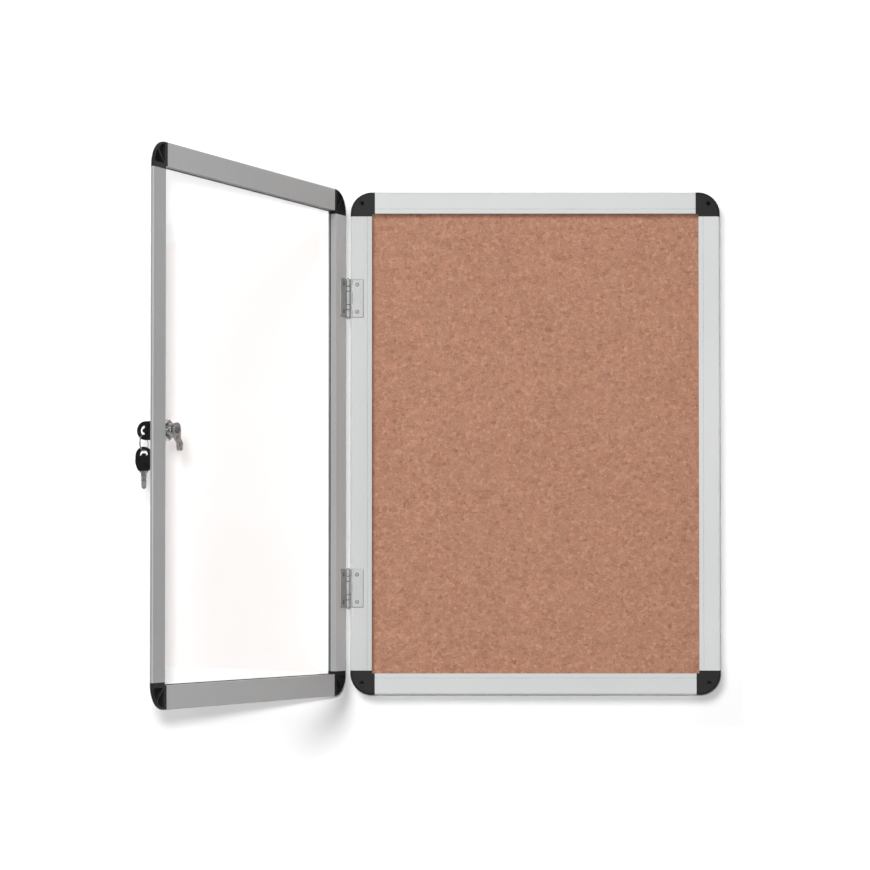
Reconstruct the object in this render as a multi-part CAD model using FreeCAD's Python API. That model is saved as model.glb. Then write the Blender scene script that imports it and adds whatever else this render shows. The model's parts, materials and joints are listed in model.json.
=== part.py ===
import FreeCAD, Part

import math
import os

from FreeCAD import Base

V = Base.Vector
OUT = "parts"

# Overall size of the board, over the outer edges of its frame.
BOARD_W = 500.0
BOARD_H = 680.0
FACE_W = 29.0
BASE_DEPTH = 20.0
DOOR_DEPTH = 13.0

# How far a cut reaches past the face that it opens, and how near two places count as the same.
CUT_PAST = 1.0
SAME = 1e-6

# Wall frame extrusion.
BASE_WALL = 1.3
BASE_BOX_W = 12.0
BASE_EDGE_R = 3.0
FLANGE_T = 1.5
FLANGE_LIP_W = 1.3
FLANGE_LIP_H = 1.2
REAR_FLANGE_W = 8.0
REAR_FLANGE_T = 1.2
RIB_W = 3.0
RIB_T = 1.0
GROOVE_IN = 6.5
GROOVE_W = 0.8
GROOVE_D = 0.4

# Pinning panel: thin back sheet, fibreboard and cork, front face of each on the next.
BACK_SHEET_T = 0.5
BOARD_T = 4.0
CORK_T = 3.0
PANEL_GAP = 0.4
PANEL_CORNER_CUT = 16.0
RIB_GAP = 0.05

# Door extrusion: a domed front that falls away to the outer edge.
DOOR_WALL = 1.2
DOOR_EDGE_H = 3.0
DOOR_BEVEL = 1.0
DOOR_BOX_W = 18.0
PANE_T = 2.0
PANE_LIP_T = 1.6
PANE_EDGE_GAP = 1.0
PANE_PLAY = 0.05
GASKET_T = 1.0
GASKET_SEAT = 3.0
GASKET_SHOW = 1.0
GASKET_PLAY = 0.05

# Moulded corner pieces.
CORNER_LEG = 33.0
CORNER_WALL = 2.5
CORNER_FACE_T = 2.0
CORNER_BLOCK = 6.0
BASE_CORNER_FLATS = 3
DOOR_CORNER_WALL = 2.5
DOOR_POCKET_EDGE_D = 3.0
DOOR_POCKET_D = 6.2
DOOR_POCKET_FLOOR_R = 13.0
DOOR_RIB_T = 2.0
DOOR_CORNER_FLATS = 5
SPIGOT_L = 25.0
DOOR_SPIGOT_L = 22.0
DOOR_SPIGOT_IN = 6.5
DOOR_SPIGOT_W = 9.0
DOOR_SPIGOT_T = 3.9
SPIGOT_PLAY = 0.15

# Wall fixing holes through the corner pieces.
FIX_INSET = 15.5
FIX_HOLE_R = 2.5
FIX_BORE_R = 4.0
FIX_BORE_D = 3.0
FIX_BOSS_R = 5.5

# Butt hinges.
HINGE_H = 52.0
HINGE_END_IN = 144.0
LEAF_T = 1.2
LEAF_PLAY = 0.2
PIN_OUT = 3.2
PIN_R = 1.5
PIN_PLAY = 0.05
PIN_END = 1.2
PIN_HEAD_R = 2.4
KNUCKLE_R = 3.5
KNUCKLE_GAP = 0.3
KNUCKLE_SIDES = 24
BORE_SIDES = 16
END_KNUCKLE = 10.2
SLIM_KNUCKLE = 6.6
LEAF_REACH = 21.0
LEAF_CORNER_R = 1.5
HINGE_SCREW_OUT = 12.3
HINGE_SCREW_Z = 18.4
HINGE_SCREW_R = 1.4
HINGE_SCREW_L = 7.0
HINGE_HEAD_R = 2.9
HINGE_HEAD_H = 1.0
HINGE_SCREW_SIDES = 16
SCREW_PLAY = 0.1

# Door angle as seen, from shut.
DOOR_OPEN = 115.4

# Cam lock in the pane beside the lock stile.
LOCK_IN = 45.0
LOCK_BELOW = 5.0
LOCK_HEAD_R = 10.0
LOCK_HEAD_T = 5.0
LOCK_HEAD_EDGE = 1.2
BARREL_R = 8.0
BARREL_END = -3.7
BARREL_HOLE_PLAY = 0.25
PLUG_R = 6.0
PLUG_PLAY = 0.05
PLUG_FLANGE_R = 7.0
PLUG_FLANGE_T = 1.0
PLUG_PROUD = 0.4
NUT_AF = 22.0
NUT_T = 5.5
NUT_PLAY = 0.05

# Cam, its square drive and screw, measured behind the door's rear face.
CAM_SEAT = 5.2
CAM_T = 1.7
CAM_HUB_R = 9.0
CAM_REACH = 25.0
CAM_TIP_W = 11.0
CAM_TIP_R = 3.0
CAM_CRANK = 4.0
CAM_CRANK_START = 8.5
CAM_CRANK_END = 16.0
DRIVE_W = 6.5
DRIVE_PLAY = 0.05
CAM_SCREW_R = 1.5
CAM_SCREW_DEPTH = 1.5
CAM_HEAD_R = 4.2
CAM_HEAD_T = 1.8

# Keys: steel blades in plastic bows.
BOW_END = 49.0
BOW_L = 29.5
BOW_W = 23.0
BOW_NECK_W = 15.0
BOW_T = 4.2
BOW_EDGE = 0.8
BOW_SHOULDER = 9.0
SLOT_IN = 6.0
SLOT_W = 4.0
SLOT_R = 4.4
SLOT_HALF_ANGLE = 75.0
SLOT_FLATS = 8
SLOT_END_FLATS = 5
BOW_FLATS = 14
BLADE_T = 1.9
BLADE_W = 6.8
BLADE_L = 22.0
BLADE_SHOULDER_W = 10.5
BLADE_SHOULDER_L = 2.0
BLADE_TIP_L = 2.6
BLADE_TANG = 8.0
BLADE_PLAY = 0.2
BLADE_END_PLAY = 0.6
CUT_COUNT = 5
CUT_PITCH = 2.8
CUT_HALF_W = 1.1
CUT_DEPTHS = (1.2, 0.6, 1.5, 0.9, 1.1)

# Ring that joins the two keys.
RING_R = 9.5
RING_WIRE_R = 0.7
RING_PLAY = 0.4
RING_SIDES = 28
RING_WIRE_SIDES = 8

# Worked out from the sizes above.
DOME_RISE = DOOR_DEPTH - DOOR_EDGE_H
DOME_R = (FACE_W ** 2 + DOME_RISE ** 2) / (2 * DOME_RISE)
HALF_W = BOARD_W / 2
HALF_H = BOARD_H / 2
HINGE_GAP = 2 * LEAF_T + LEAF_PLAY
DOOR_REAR_Y = -BASE_DEPTH - HINGE_GAP
PIN_X = -HALF_W - PIN_OUT
PIN_Y = -BASE_DEPTH - HINGE_GAP / 2
HINGE_CENTRE_Z = HALF_H - HINGE_END_IN
PANEL_IN = BASE_BOX_W + PANEL_GAP
CORK_BACK = REAR_FLANGE_T + BACK_SHEET_T + BOARD_T
CORK_FRONT = CORK_BACK + CORK_T
PANE_FRONT = DOOR_DEPTH - PANE_LIP_T
PANE_BACK = PANE_FRONT - PANE_T
GASKET_BACK = PANE_BACK - GASKET_T
PANE_IN = DOOR_BOX_W + PANE_EDGE_GAP
LOCK_X = HALF_W - LOCK_IN
HEAD_FRONT = PANE_FRONT + LOCK_HEAD_T
PLUG_FRONT = HEAD_FRONT + PLUG_PROUD
BOW_START = BOW_END - BOW_L
BLADE_TIP = BOW_START - BLADE_L
KEYWAY_END = BLADE_TIP - BLADE_END_PLAY


def box(x0, x1, y0, y1, z0, z1):
    """Block between two corners, given in any order."""
    low = V(min(x0, x1), min(y0, y1), min(z0, z1))
    return Part.makeBox(abs(x1 - x0), abs(y1 - y0), abs(z1 - z0), low)


def wire_of(points):
    """Closed outline through straight points."""
    return Part.makePolygon(points + [points[0]])


def prism(points, run):
    """Solid of a straight-sided outline pushed along a vector."""
    return Part.Face(wire_of(points)).extrude(run)


def turned(shape, degrees, centre=V(0, 0, 0), axis=V(0, 1, 0)):
    """Copy of a shape turned about an axis through a point."""
    copy = shape.copy()
    copy.rotate(centre, axis, degrees)
    return copy


def moved(shape, shift):
    """Copy of a shape moved by a vector."""
    copy = shape.copy()
    copy.translate(shift)
    return copy


def segments(points):
    """Straight edges through points."""
    return [Part.LineSegment(first, second).toShape() for first, second in zip(points, points[1:])]


def curve(start, middle, end, flats):
    """Arc through three points, as one curve, or as a number of short flats where any are asked for."""
    arc = Part.Arc(start, middle, end).toShape()
    if flats == 0:
        return [arc]
    return segments(arc.discretize(flats + 1))


def rod(r, sides, height, base):
    """Upright rod of flat sides that just hold a circle."""
    corner = r / math.cos(math.pi / sides)
    points = []
    for side in range(sides):
        angle = 2 * math.pi * side / sides
        points.append(base + V(corner * math.cos(angle), corner * math.sin(angle), 0))
    return prism(points, V(0, 0, height))


def tapered(r0, r1, length, place, into):
    """Many-sided plug along y from a place, from one radius to another."""
    rings = []
    for r, centre in ((r0, place), (r1, place + into * length)):
        points = []
        for side in range(HINGE_SCREW_SIDES):
            angle = 2 * math.pi * side / HINGE_SCREW_SIDES
            points.append(centre + V(r * math.cos(angle), 0, r * math.sin(angle)))
        rings.append(wire_of(points))
    return Part.makeLoft(rings, True, True)


def write(name, shape):
    """One file for each named piece."""
    shape.exportStep(os.path.join(OUT, name + ".step"))


def base_section(z, flats=0):
    """Wall frame's outer section at a height, with its rounded outer front edge."""
    r = BASE_EDGE_R
    turn = r * (1 - math.sqrt(0.5))
    front = -BASE_DEPTH
    start = V(r, front, z)
    end = V(0, front + r, z)
    edges = curve(start, V(turn, front + turn, z), end, flats)
    edges += segments([end, V(0, 0, z), V(FACE_W, 0, z), V(FACE_W, front, z), start])
    return Part.Face(Part.Wire(edges))


def door_section(z, wall=0.0, flats=0):
    """Door's domed section at a height, or the hollow a wall's thickness inside it."""
    centre_y = DOME_R - DOOR_DEPTH
    r = DOME_R - wall
    reach = FACE_W - wall
    half = math.asin(reach / r) / 2
    edge = V(wall, centre_y - math.sqrt(r ** 2 - reach ** 2), z)
    mid = V(FACE_W - r * math.sin(half), centre_y - r * math.cos(half), z)
    crown = V(FACE_W, wall - DOOR_DEPTH, z)
    if wall > 0:
        back = [V(FACE_W, 0, z), V(wall, 0, z), edge]
    else:
        back = [V(FACE_W, 0, z), V(DOOR_BEVEL, 0, z), V(0, -DOOR_BEVEL, z), edge]
    edges = curve(edge, mid, crown, flats) + segments([crown] + back)
    return Part.Face(Part.Wire(edges))


def base_extrusion(length):
    """C-shaped wall frame member: hollow outer box, front flange, panel rib and rear flange."""
    half = length / 2
    run = V(0, 0, length)
    bar = base_section(-half).extrude(run)
    hollow = box(BASE_WALL, BASE_BOX_W - BASE_WALL, -BASE_WALL, -BASE_DEPTH + BASE_WALL, -half, half)
    inner = FACE_W + CUT_PAST
    rear_end = BASE_BOX_W + REAR_FLANGE_W
    rib_back = CORK_FRONT + RIB_GAP
    rib_front = rib_back + RIB_T
    under = BASE_DEPTH - FLANGE_T
    lip_x = FACE_W - FLANGE_LIP_W
    outline = [V(BASE_BOX_W, -REAR_FLANGE_T, -half), V(rear_end, -REAR_FLANGE_T, -half),
               V(rear_end, CUT_PAST, -half), V(inner, CUT_PAST, -half),
               V(inner, -under + FLANGE_LIP_H, -half), V(lip_x, -under + FLANGE_LIP_H, -half),
               V(lip_x, -under, -half), V(BASE_BOX_W, -under, -half),
               V(BASE_BOX_W, -rib_front, -half), V(BASE_BOX_W + RIB_W, -rib_front, -half),
               V(BASE_BOX_W + RIB_W, -rib_back, -half), V(BASE_BOX_W, -rib_back, -half)]
    channel = prism(outline, run)
    groove_x = FACE_W - GROOVE_IN
    groove = prism([V(groove_x, -BASE_DEPTH, -half), V(groove_x + GROOVE_W, -BASE_DEPTH, -half),
                    V(groove_x + GROOVE_W / 2, -BASE_DEPTH + GROOVE_D, -half)], run)
    return bar.cut([hollow, channel, groove])


def door_extrusion(length):
    """Domed door member: hollow outer box, rear and inner walls, and the pane's rebate."""
    half = length / 2
    run = V(0, 0, length)
    bar = door_section(-half).extrude(run)
    core = door_section(-half, DOOR_WALL).extrude(run)
    reach = box(0, DOOR_BOX_W - DOOR_WALL, -DOOR_WALL, -DOOR_DEPTH, -half, half)
    inner = FACE_W + CUT_PAST
    wall_x = FACE_W - DOOR_WALL
    outline = [V(DOOR_BOX_W, -DOOR_WALL, -half), V(wall_x, -DOOR_WALL, -half),
               V(wall_x, -GASKET_BACK, -half), V(inner, -GASKET_BACK, -half),
               V(inner, -PANE_FRONT, -half), V(DOOR_BOX_W, -PANE_FRONT, -half)]
    rebate = prism(outline, run)
    return bar.cut([core.common(reach), rebate])


def frame_set(extrusion, names, hinge_cuts):
    """Four members of one section, between the corner pieces, as (name, shape) pairs."""
    tall = extrusion(BOARD_H - 2 * CORNER_LEG)
    wide = extrusion(BOARD_W - 2 * CORNER_LEG)
    stile = moved(tall, V(-HALF_W, 0, 0))
    rail = moved(wide, V(-HALF_H, 0, 0))
    hinge_stile = stile.cut(hinge_cuts)
    turns = zip(names, (hinge_stile, rail, stile, rail), (0, 90, 180, 270))
    return [(name, turned(shape, angle)) for name, shape, angle in turns]


def corner_blank(section, straight):
    """Quarter turn of a section about the inner corner, with its straight ends."""
    start = section(-FACE_W)
    axis_point = V(FACE_W, 0, -FACE_W)
    sweep = start.revolve(axis_point, V(0, 1, 0), 90)
    lower = start.extrude(V(0, 0, -straight))
    upper = turned(start, 90, axis_point).extrude(V(straight, 0, 0))
    return sweep.fuse([lower, upper]).removeSplitter()


def both_ways(shape):
    """A shape beside the vertical leg, and the same one beside the level leg."""
    diagonal = shape.copy()
    diagonal.rotate(V(0, 0, 0), V(1, 0, -1), 180)
    flat = diagonal.mirror(V(0, 0, 0), V(0, 1, 0))
    return [shape, flat]


def base_corner():
    """Hollow moulded corner of the wall frame, with spigots and a wall screw boss."""
    legs = CORNER_LEG - FACE_W
    inset = CORNER_WALL

    def outer_section(z):
        return base_section(z, BASE_CORNER_FLATS)

    def hollow_section(z):
        back = CUT_PAST
        front = -BASE_DEPTH + CORNER_FACE_T
        outline = [V(inset, back, z), V(FACE_W, back, z), V(FACE_W, front, z), V(inset, front, z)]
        return Part.Face(wire_of(outline))

    blank = corner_blank(outer_section, legs)
    shell = blank.cut(corner_blank(hollow_section, legs + CUT_PAST))
    block = box(0, BASE_BOX_W, 0, -BASE_DEPTH, -CORNER_LEG + CORNER_BLOCK, -CORNER_LEG)
    low = BASE_WALL + SPIGOT_PLAY
    high = BASE_BOX_W - low
    spigot = box(low, high, -low, -BASE_DEPTH + low, -CORNER_LEG, -CORNER_LEG - SPIGOT_L)
    solid = [part.common(blank) for part in both_ways(block)] + both_ways(spigot)
    place = V(FIX_INSET, 0, -FIX_INSET)
    solid.append(Part.makeCylinder(FIX_BOSS_R, BASE_DEPTH - CORNER_FACE_T / 2, place, V(0, -1, 0)))
    hole = Part.makeCylinder(FIX_HOLE_R, BASE_DEPTH, place, V(0, -1, 0))
    front = place + V(0, -BASE_DEPTH + FIX_BORE_D, 0)
    bore = Part.makeCylinder(FIX_BORE_R, FIX_BORE_D, front, V(0, -1, 0))
    return shell.fuse(solid).cut([hole, bore]).removeSplitter()


def door_corner():
    """Moulded corner of the door: domed face, ribbed pocket behind, spigots for the members."""

    def outer_section(z):
        return door_section(z, 0, DOOR_CORNER_FLATS)

    blank = corner_blank(outer_section, CORNER_LEG - FACE_W)
    inner = FACE_W - DOOR_CORNER_WALL
    far = CORNER_LEG + CUT_PAST
    into = V(0, -1, 0)
    start = V(FACE_W, 0, -FACE_W)
    rim = Part.makeCylinder(inner, DOOR_POCKET_EDGE_D, start, into)
    slope_h = DOOR_POCKET_D - DOOR_POCKET_EDGE_D
    slope = Part.makeCone(inner, DOOR_POCKET_FLOOR_R, slope_h, start + into * DOOR_POCKET_EDGE_D, into)
    quarter = box(0, inner, 0, -DOOR_DEPTH, 0, -inner)
    rib = turned(box(0, 2 * FACE_W, 0, -DOOR_DEPTH, -DOOR_RIB_T / 2, DOOR_RIB_T / 2), 45)
    pocket = rim.fuse(slope).common(quarter).cut(rib)
    gasket_in = FACE_W - GASKET_SEAT - PANE_PLAY
    pane_in = PANE_IN - PANE_PLAY
    gasket_room = box(gasket_in, far, -GASKET_BACK, -PANE_BACK, -gasket_in, -far)
    pane_room = box(pane_in, far, -PANE_BACK, -PANE_FRONT, -pane_in, -far)
    near = -DOOR_WALL - SPIGOT_PLAY
    spigot = box(DOOR_SPIGOT_IN, DOOR_SPIGOT_IN + DOOR_SPIGOT_W, near, near - DOOR_SPIGOT_T,
                 -CORNER_LEG, -CORNER_LEG - DOOR_SPIGOT_L)
    return blank.cut([pocket, gasket_room, pane_room]).fuse(both_ways(spigot)).removeSplitter()


def corner_set(corner, names):
    """The corner piece at all four corners, as (name, shape) pairs."""
    places = ((-HALF_W, HALF_H), (HALF_W, HALF_H), (HALF_W, -HALF_H), (-HALF_W, -HALF_H))
    pairs = []
    for name, (x, z), angle in zip(names, places, (0, 90, 180, 270)):
        pairs.append((name, moved(turned(corner, angle), V(x, 0, z))))
    return pairs


def panel_layer(back, thick):
    """One sheet of the pinning panel, with corners cut to clear the screw bosses."""
    w = HALF_W - PANEL_IN
    h = HALF_H - PANEL_IN
    c = PANEL_CORNER_CUT
    points = [V(-w + c, -back, h), V(w - c, -back, h), V(w, -back, h - c), V(w, -back, -h + c),
              V(w - c, -back, -h), V(-w + c, -back, -h), V(-w, -back, -h + c), V(-w, -back, h - c)]
    return prism(points, V(0, -thick, 0))


def pane():
    """Clear pane in the door's rebate, with the round hole for the lock."""
    w = HALF_W - PANE_IN
    h = HALF_H - PANE_IN
    sheet = box(-w, w, -PANE_BACK, -PANE_FRONT, -h, h)
    hole = Part.makeCylinder(BARREL_R + BARREL_HOLE_PLAY, DOOR_DEPTH, V(LOCK_X, 0, -LOCK_BELOW), V(0, -1, 0))
    return sheet.cut(hole)


def gaskets():
    """Rubber strips behind the pane, showing past the members' inner edges, as (name, shape) pairs."""
    seat = FACE_W - GASKET_SEAT
    show = FACE_W + GASKET_SHOW
    w, h = HALF_W - seat, HALF_H - seat
    inner_w, inner_h = HALF_W - show, HALF_H - show
    y0, y1 = -GASKET_BACK, -PANE_BACK
    pairs = [("gasket_hinge_side", box(-w, -inner_w, y0, y1, -h, h)),
             ("gasket_lock_side", box(inner_w, w, y0, y1, -h, h))]
    end = inner_w - GASKET_PLAY
    pairs.append(("gasket_top", box(-end, end, y0, y1, inner_h, h)))
    pairs.append(("gasket_bottom", box(-end, end, y0, y1, -h, -inner_h)))
    return pairs


def leaf_profile(sign, z):
    """Flat leaf with rounded free corners, from the pin's axis across the member's face."""
    r = LEAF_CORNER_R
    y0 = PIN_Y + sign * LEAF_PLAY / 2
    low, high = z - HINGE_H / 2, z + HINGE_H / 2
    plate = box(PIN_X, PIN_X + LEAF_REACH, y0, y0 + sign * LEAF_T, low, high)
    corners = [edge for edge in plate.Edges
               if abs(edge.CenterOfMass.x - PIN_X - LEAF_REACH) < SAME
               and abs(edge.CenterOfMass.y - y0 - sign * LEAF_T / 2) < SAME]
    return plate.makeFillet(r, corners)


def knuckle_spans(z):
    """Heights of the knuckles from the bottom: wall leaf, door leaf, and so on by turns."""
    middle = HINGE_H - 2 * (END_KNUCKLE + SLIM_KNUCKLE)
    spans = []
    low = z - HINGE_H / 2
    for length in (END_KNUCKLE, SLIM_KNUCKLE, middle, SLIM_KNUCKLE, END_KNUCKLE):
        spans.append((low, low + length))
        low += length
    return spans


def hinge_leaf(sign, z):
    """One leaf of a butt hinge with its own knuckles; +1 lies on the wall frame, -1 on the door."""
    own = 0 if sign > 0 else 1
    shape = leaf_profile(sign, z)
    clear = KNUCKLE_R + KNUCKLE_GAP
    rolls = []
    cuts = []
    for index, (low, high) in enumerate(knuckle_spans(z)):
        if index % 2 == own:
            base = V(PIN_X, PIN_Y, low + KNUCKLE_GAP / 2)
            rolls.append(rod(KNUCKLE_R, KNUCKLE_SIDES, high - low - KNUCKLE_GAP, base))
        else:
            base = V(PIN_X, PIN_Y, low - KNUCKLE_GAP / 2)
            cuts.append(Part.makeCylinder(clear, high - low + KNUCKLE_GAP, base))
    start = V(PIN_X, PIN_Y, z - HINGE_H / 2 - CUT_PAST)
    bore = rod(PIN_R + PIN_PLAY, BORE_SIDES, HINGE_H + 2 * CUT_PAST, start)
    shape = shape.cut(cuts).fuse(rolls).cut(bore)
    holes = [screw_hole(place, sign) for place in hinge_screw_places(sign, z)]
    return shape.cut(holes).removeSplitter()


def hinge_pin(z):
    """Hinge pin with a flat head below and a plain end above."""
    low = z - HINGE_H / 2 - PIN_END
    pin = Part.makeCylinder(PIN_R, HINGE_H + 2 * PIN_END, V(PIN_X, PIN_Y, low))
    head = Part.makeCylinder(PIN_HEAD_R, PIN_END, V(PIN_X, PIN_Y, low))
    return pin.fuse(head).removeSplitter()


def hinge_screw_places(sign, z):
    """Points on the leaf's open face where its two screws go in."""
    y = PIN_Y + sign * LEAF_PLAY / 2
    x = PIN_X + HINGE_SCREW_OUT
    return [V(x, y, z + step) for step in (-HINGE_SCREW_Z, HINGE_SCREW_Z)]


def screw_hole(place, sign):
    """Countersunk hole for one hinge screw."""
    play = SCREW_PLAY
    into = V(0, sign, 0)
    shank_r = HINGE_SCREW_R + play
    shank = tapered(shank_r, shank_r, HINGE_SCREW_L + CUT_PAST, place, into)
    return shank.fuse(tapered(HINGE_HEAD_R + play, shank_r, HINGE_HEAD_H, place, into))


def hinge_screw(place, sign):
    """Countersunk screw, flush with the leaf."""
    into = V(0, sign, 0)
    shank = tapered(HINGE_SCREW_R, HINGE_SCREW_R, HINGE_SCREW_L, place, into)
    head = tapered(HINGE_HEAD_R, HINGE_SCREW_R, HINGE_HEAD_H, place, into)
    return shank.fuse(head).removeSplitter()


def lock_body():
    """Round lock head and barrel, bored for the plug, with a seat for the plug's flange."""
    centre = V(LOCK_X, 0, 0)
    out = V(0, -1, 0)
    head = Part.makeCylinder(LOCK_HEAD_R, LOCK_HEAD_T, centre + out * PANE_FRONT, out)
    rim = [e for e in head.Edges if abs(e.CenterOfMass.y + HEAD_FRONT) < SAME]
    head = head.makeChamfer(LOCK_HEAD_EDGE, rim)
    barrel = Part.makeCylinder(BARREL_R, PANE_FRONT - BARREL_END, centre + out * BARREL_END, out)
    bore_r = PLUG_R + PLUG_PLAY
    length = HEAD_FRONT - BARREL_END
    bore = Part.makeCylinder(bore_r, length, centre + out * BARREL_END, out)
    seat_y = HEAD_FRONT - PLUG_FLANGE_T
    seat = Part.makeCylinder(PLUG_FLANGE_R + PLUG_PLAY, PLUG_FLANGE_T, centre + out * seat_y, out)
    return head.fuse(barrel).cut([bore, seat]).removeSplitter()


def lock_nut():
    """Hexagon nut that clamps the lock body to the pane from behind."""
    points = []
    corner = NUT_AF / 2 / math.cos(math.pi / 6)
    for step in range(6):
        angle = math.pi / 2 + step * math.pi / 3
        points.append(V(LOCK_X + corner * math.cos(angle), -PANE_BACK, corner * math.sin(angle)))
    nut = prism(points, V(0, NUT_T, 0))
    bore = Part.makeCylinder(BARREL_R + NUT_PLAY, NUT_T, V(LOCK_X, -PANE_BACK, 0), V(0, 1, 0))
    return nut.cut(bore)


def lock_plug():
    """Turning plug: keyway from the front, square drive and screw hole at the back."""
    centre = V(LOCK_X, 0, 0)
    out = V(0, -1, 0)
    plug = Part.makeCylinder(PLUG_R, PLUG_FRONT + CAM_SEAT, centre + out * -CAM_SEAT, out)
    seat_y = HEAD_FRONT - PLUG_FLANGE_T
    flange = Part.makeCylinder(PLUG_FLANGE_R, PLUG_FRONT - seat_y, centre + out * seat_y, out)
    half = DRIVE_W / 2
    drive = box(LOCK_X - half, LOCK_X + half, CAM_SEAT, CAM_SEAT + CAM_T, -half, half)
    half_t = BLADE_T / 2 + BLADE_PLAY
    half_w = BLADE_W / 2 + BLADE_PLAY
    keyway = box(LOCK_X - half_t, LOCK_X + half_t, -PLUG_FRONT, -KEYWAY_END, -half_w, half_w)
    hole_l = CAM_T + CAM_SCREW_DEPTH
    hole = Part.makeCylinder(CAM_SCREW_R + SCREW_PLAY, hole_l, V(LOCK_X, CAM_SEAT + CAM_T, 0), out)
    return plug.fuse([flange, drive]).cut([keyway, hole]).removeSplitter()


def cam():
    """Cranked cam pointing down: round hub, tapering arm and a tip set further back."""
    tip = -CAM_REACH
    half = CAM_TIP_W / 2
    near = CAM_SEAT
    hub = Part.makeCylinder(CAM_HUB_R, CAM_T, V(LOCK_X, near, 0), V(0, 1, 0))
    far = near + CAM_CRANK
    high = far + CAM_T + CUT_PAST
    side = [(0, near), (-CAM_CRANK_START, near), (-CAM_CRANK_END, far), (tip, far)]
    front = [V(LOCK_X - CAM_HUB_R, y, z) for z, y in side]
    back = [V(p.x, p.y + CAM_T, p.z) for p in reversed(front)]
    strip = prism(front + back, V(2 * CAM_HUB_R, 0, 0))
    outline = prism([V(LOCK_X - CAM_HUB_R, 0, 0), V(LOCK_X + CAM_HUB_R, 0, 0),
                     V(LOCK_X + half, 0, tip), V(LOCK_X - half, 0, tip)], V(0, high, 0))
    ends = [e for e in outline.Edges if abs(e.CenterOfMass.z - tip) < SAME and e.Length > CAM_TIP_W]
    outline = outline.makeFillet(CAM_TIP_R, ends)
    hole_half = DRIVE_W / 2 + DRIVE_PLAY
    hole = box(LOCK_X - hole_half, LOCK_X + hole_half, 0, high, -hole_half, hole_half)
    return strip.common(outline).fuse(hub).cut(hole).removeSplitter()


def cam_screw():
    """Pan-head screw that holds the cam on the plug's drive."""
    seat = CAM_SEAT + CAM_T
    shank_l = CAM_T + CAM_SCREW_DEPTH - SCREW_PLAY
    shank = Part.makeCylinder(CAM_SCREW_R, shank_l, V(LOCK_X, seat, 0), V(0, -1, 0))
    head = Part.makeCylinder(CAM_HEAD_R, CAM_HEAD_T, V(LOCK_X, seat, 0), V(0, 1, 0))
    return head.fuse(shank).removeSplitter()


def bow_outline():
    """Bow's outline in the key's own plane: x runs from its neck (0) to its round end."""
    half = BOW_W / 2
    neck = BOW_NECK_W / 2
    flat = BOW_L - half
    edges = curve(V(flat, 0, half), V(BOW_L, 0, 0), V(flat, 0, -half), BOW_FLATS)
    edges += segments([V(flat, 0, -half), V(BOW_SHOULDER, 0, -half), V(0, 0, -neck), V(0, 0, neck),
                       V(BOW_SHOULDER, 0, half), V(flat, 0, half)])
    return Part.Face(Part.Wire(edges))


def arc_slot():
    """Curved slot that follows the bow's round end, in the key's own plane."""
    reach = math.radians(SLOT_HALF_ANGLE)
    centre_x = BOW_L - SLOT_IN - SLOT_R
    half = SLOT_W / 2

    def at(r, angle):
        return V(centre_x + r * math.cos(angle), BOW_T, r * math.sin(angle))

    edges = []
    for side in (-1, 1):
        rim = SLOT_R + side * half
        edges += curve(at(rim, -reach), at(rim, 0), at(rim, reach), SLOT_FLATS)
        middle = at(SLOT_R, side * reach) + V(-math.sin(reach), 0, side * math.cos(reach)) * half
        start = at(SLOT_R - half, side * reach)
        edges += curve(start, middle, at(SLOT_R + half, side * reach), SLOT_END_FLATS)
    return Part.Face(Part.Wire(Part.__sortEdges__(edges))).extrude(V(0, -2 * BOW_T, 0))


def blade():
    """Flat steel blade from its tang in the bow to its pointed tip, cut on both edges."""
    w = BLADE_W / 2
    s = BLADE_SHOULDER_W / 2
    y = BLADE_T / 2
    end = -BLADE_L
    stop = -BLADE_SHOULDER_L
    tip = end + BLADE_TIP_L
    points = [V(BLADE_TANG, y, w), V(0, y, w), V(0, y, s), V(stop, y, s), V(stop, y, w), V(tip, y, w),
              V(end, y, 0), V(tip, y, -w), V(stop, y, -w), V(stop, y, -s), V(0, y, -s), V(0, y, -w),
              V(BLADE_TANG, y, -w)]
    body = prism(points, V(0, -BLADE_T, 0))
    cuts = []
    for side in (-1, 1):
        for index in range(CUT_COUNT):
            depth = CUT_DEPTHS[(index * side) % len(CUT_DEPTHS)]
            x = end + BLADE_TIP_L + CUT_HALF_W + index * CUT_PITCH
            edge = side * w
            cuts.append(prism([V(x - CUT_HALF_W, y, edge), V(x, y, edge - side * depth),
                               V(x + CUT_HALF_W, y, edge)], V(0, -BLADE_T, 0)))
    return body.cut(cuts)


def bow():
    """Plastic bow, bevelled on its faces' edges, slotted for the ring and for the blade's tang."""
    body = moved(bow_outline(), V(0, BOW_T / 2, 0)).extrude(V(0, -BOW_T, 0))
    rims = [e for e in body.Edges if abs(abs(e.CenterOfMass.y) - BOW_T / 2) < SAME]
    body = body.makeChamfer(BOW_EDGE, rims)
    return body.cut([arc_slot(), blade()])


def key_in_lock(shape):
    """Own plane to the lock: pointing out of the pane, flat upright."""
    placed = turned(shape, -90, V(0, 0, 0), V(0, 0, 1))
    return moved(placed, V(LOCK_X, -BOW_START, 0))


def hanging_key(shape):
    """Own plane to the ring: blade down, hanging from the slot's middle."""
    upright = turned(shape, -90, V(0, 0, 0), V(0, 1, 0))
    flat = turned(upright, 90, V(0, 0, 0), V(0, 0, 1))
    slot_top = BOW_L - SLOT_IN + SLOT_W / 2
    return moved(flat, V(LOCK_X, ring_y(), ring_top() - 2 * RING_R + RING_WIRE_R + RING_PLAY - slot_top))


def ring_y():
    """Ring's plane, at the lower end of the key's slot."""
    reach = math.radians(SLOT_HALF_ANGLE)
    centre_x = BOW_L - SLOT_IN - SLOT_R
    return -(BOW_START + centre_x + SLOT_R * math.cos(reach))


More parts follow.
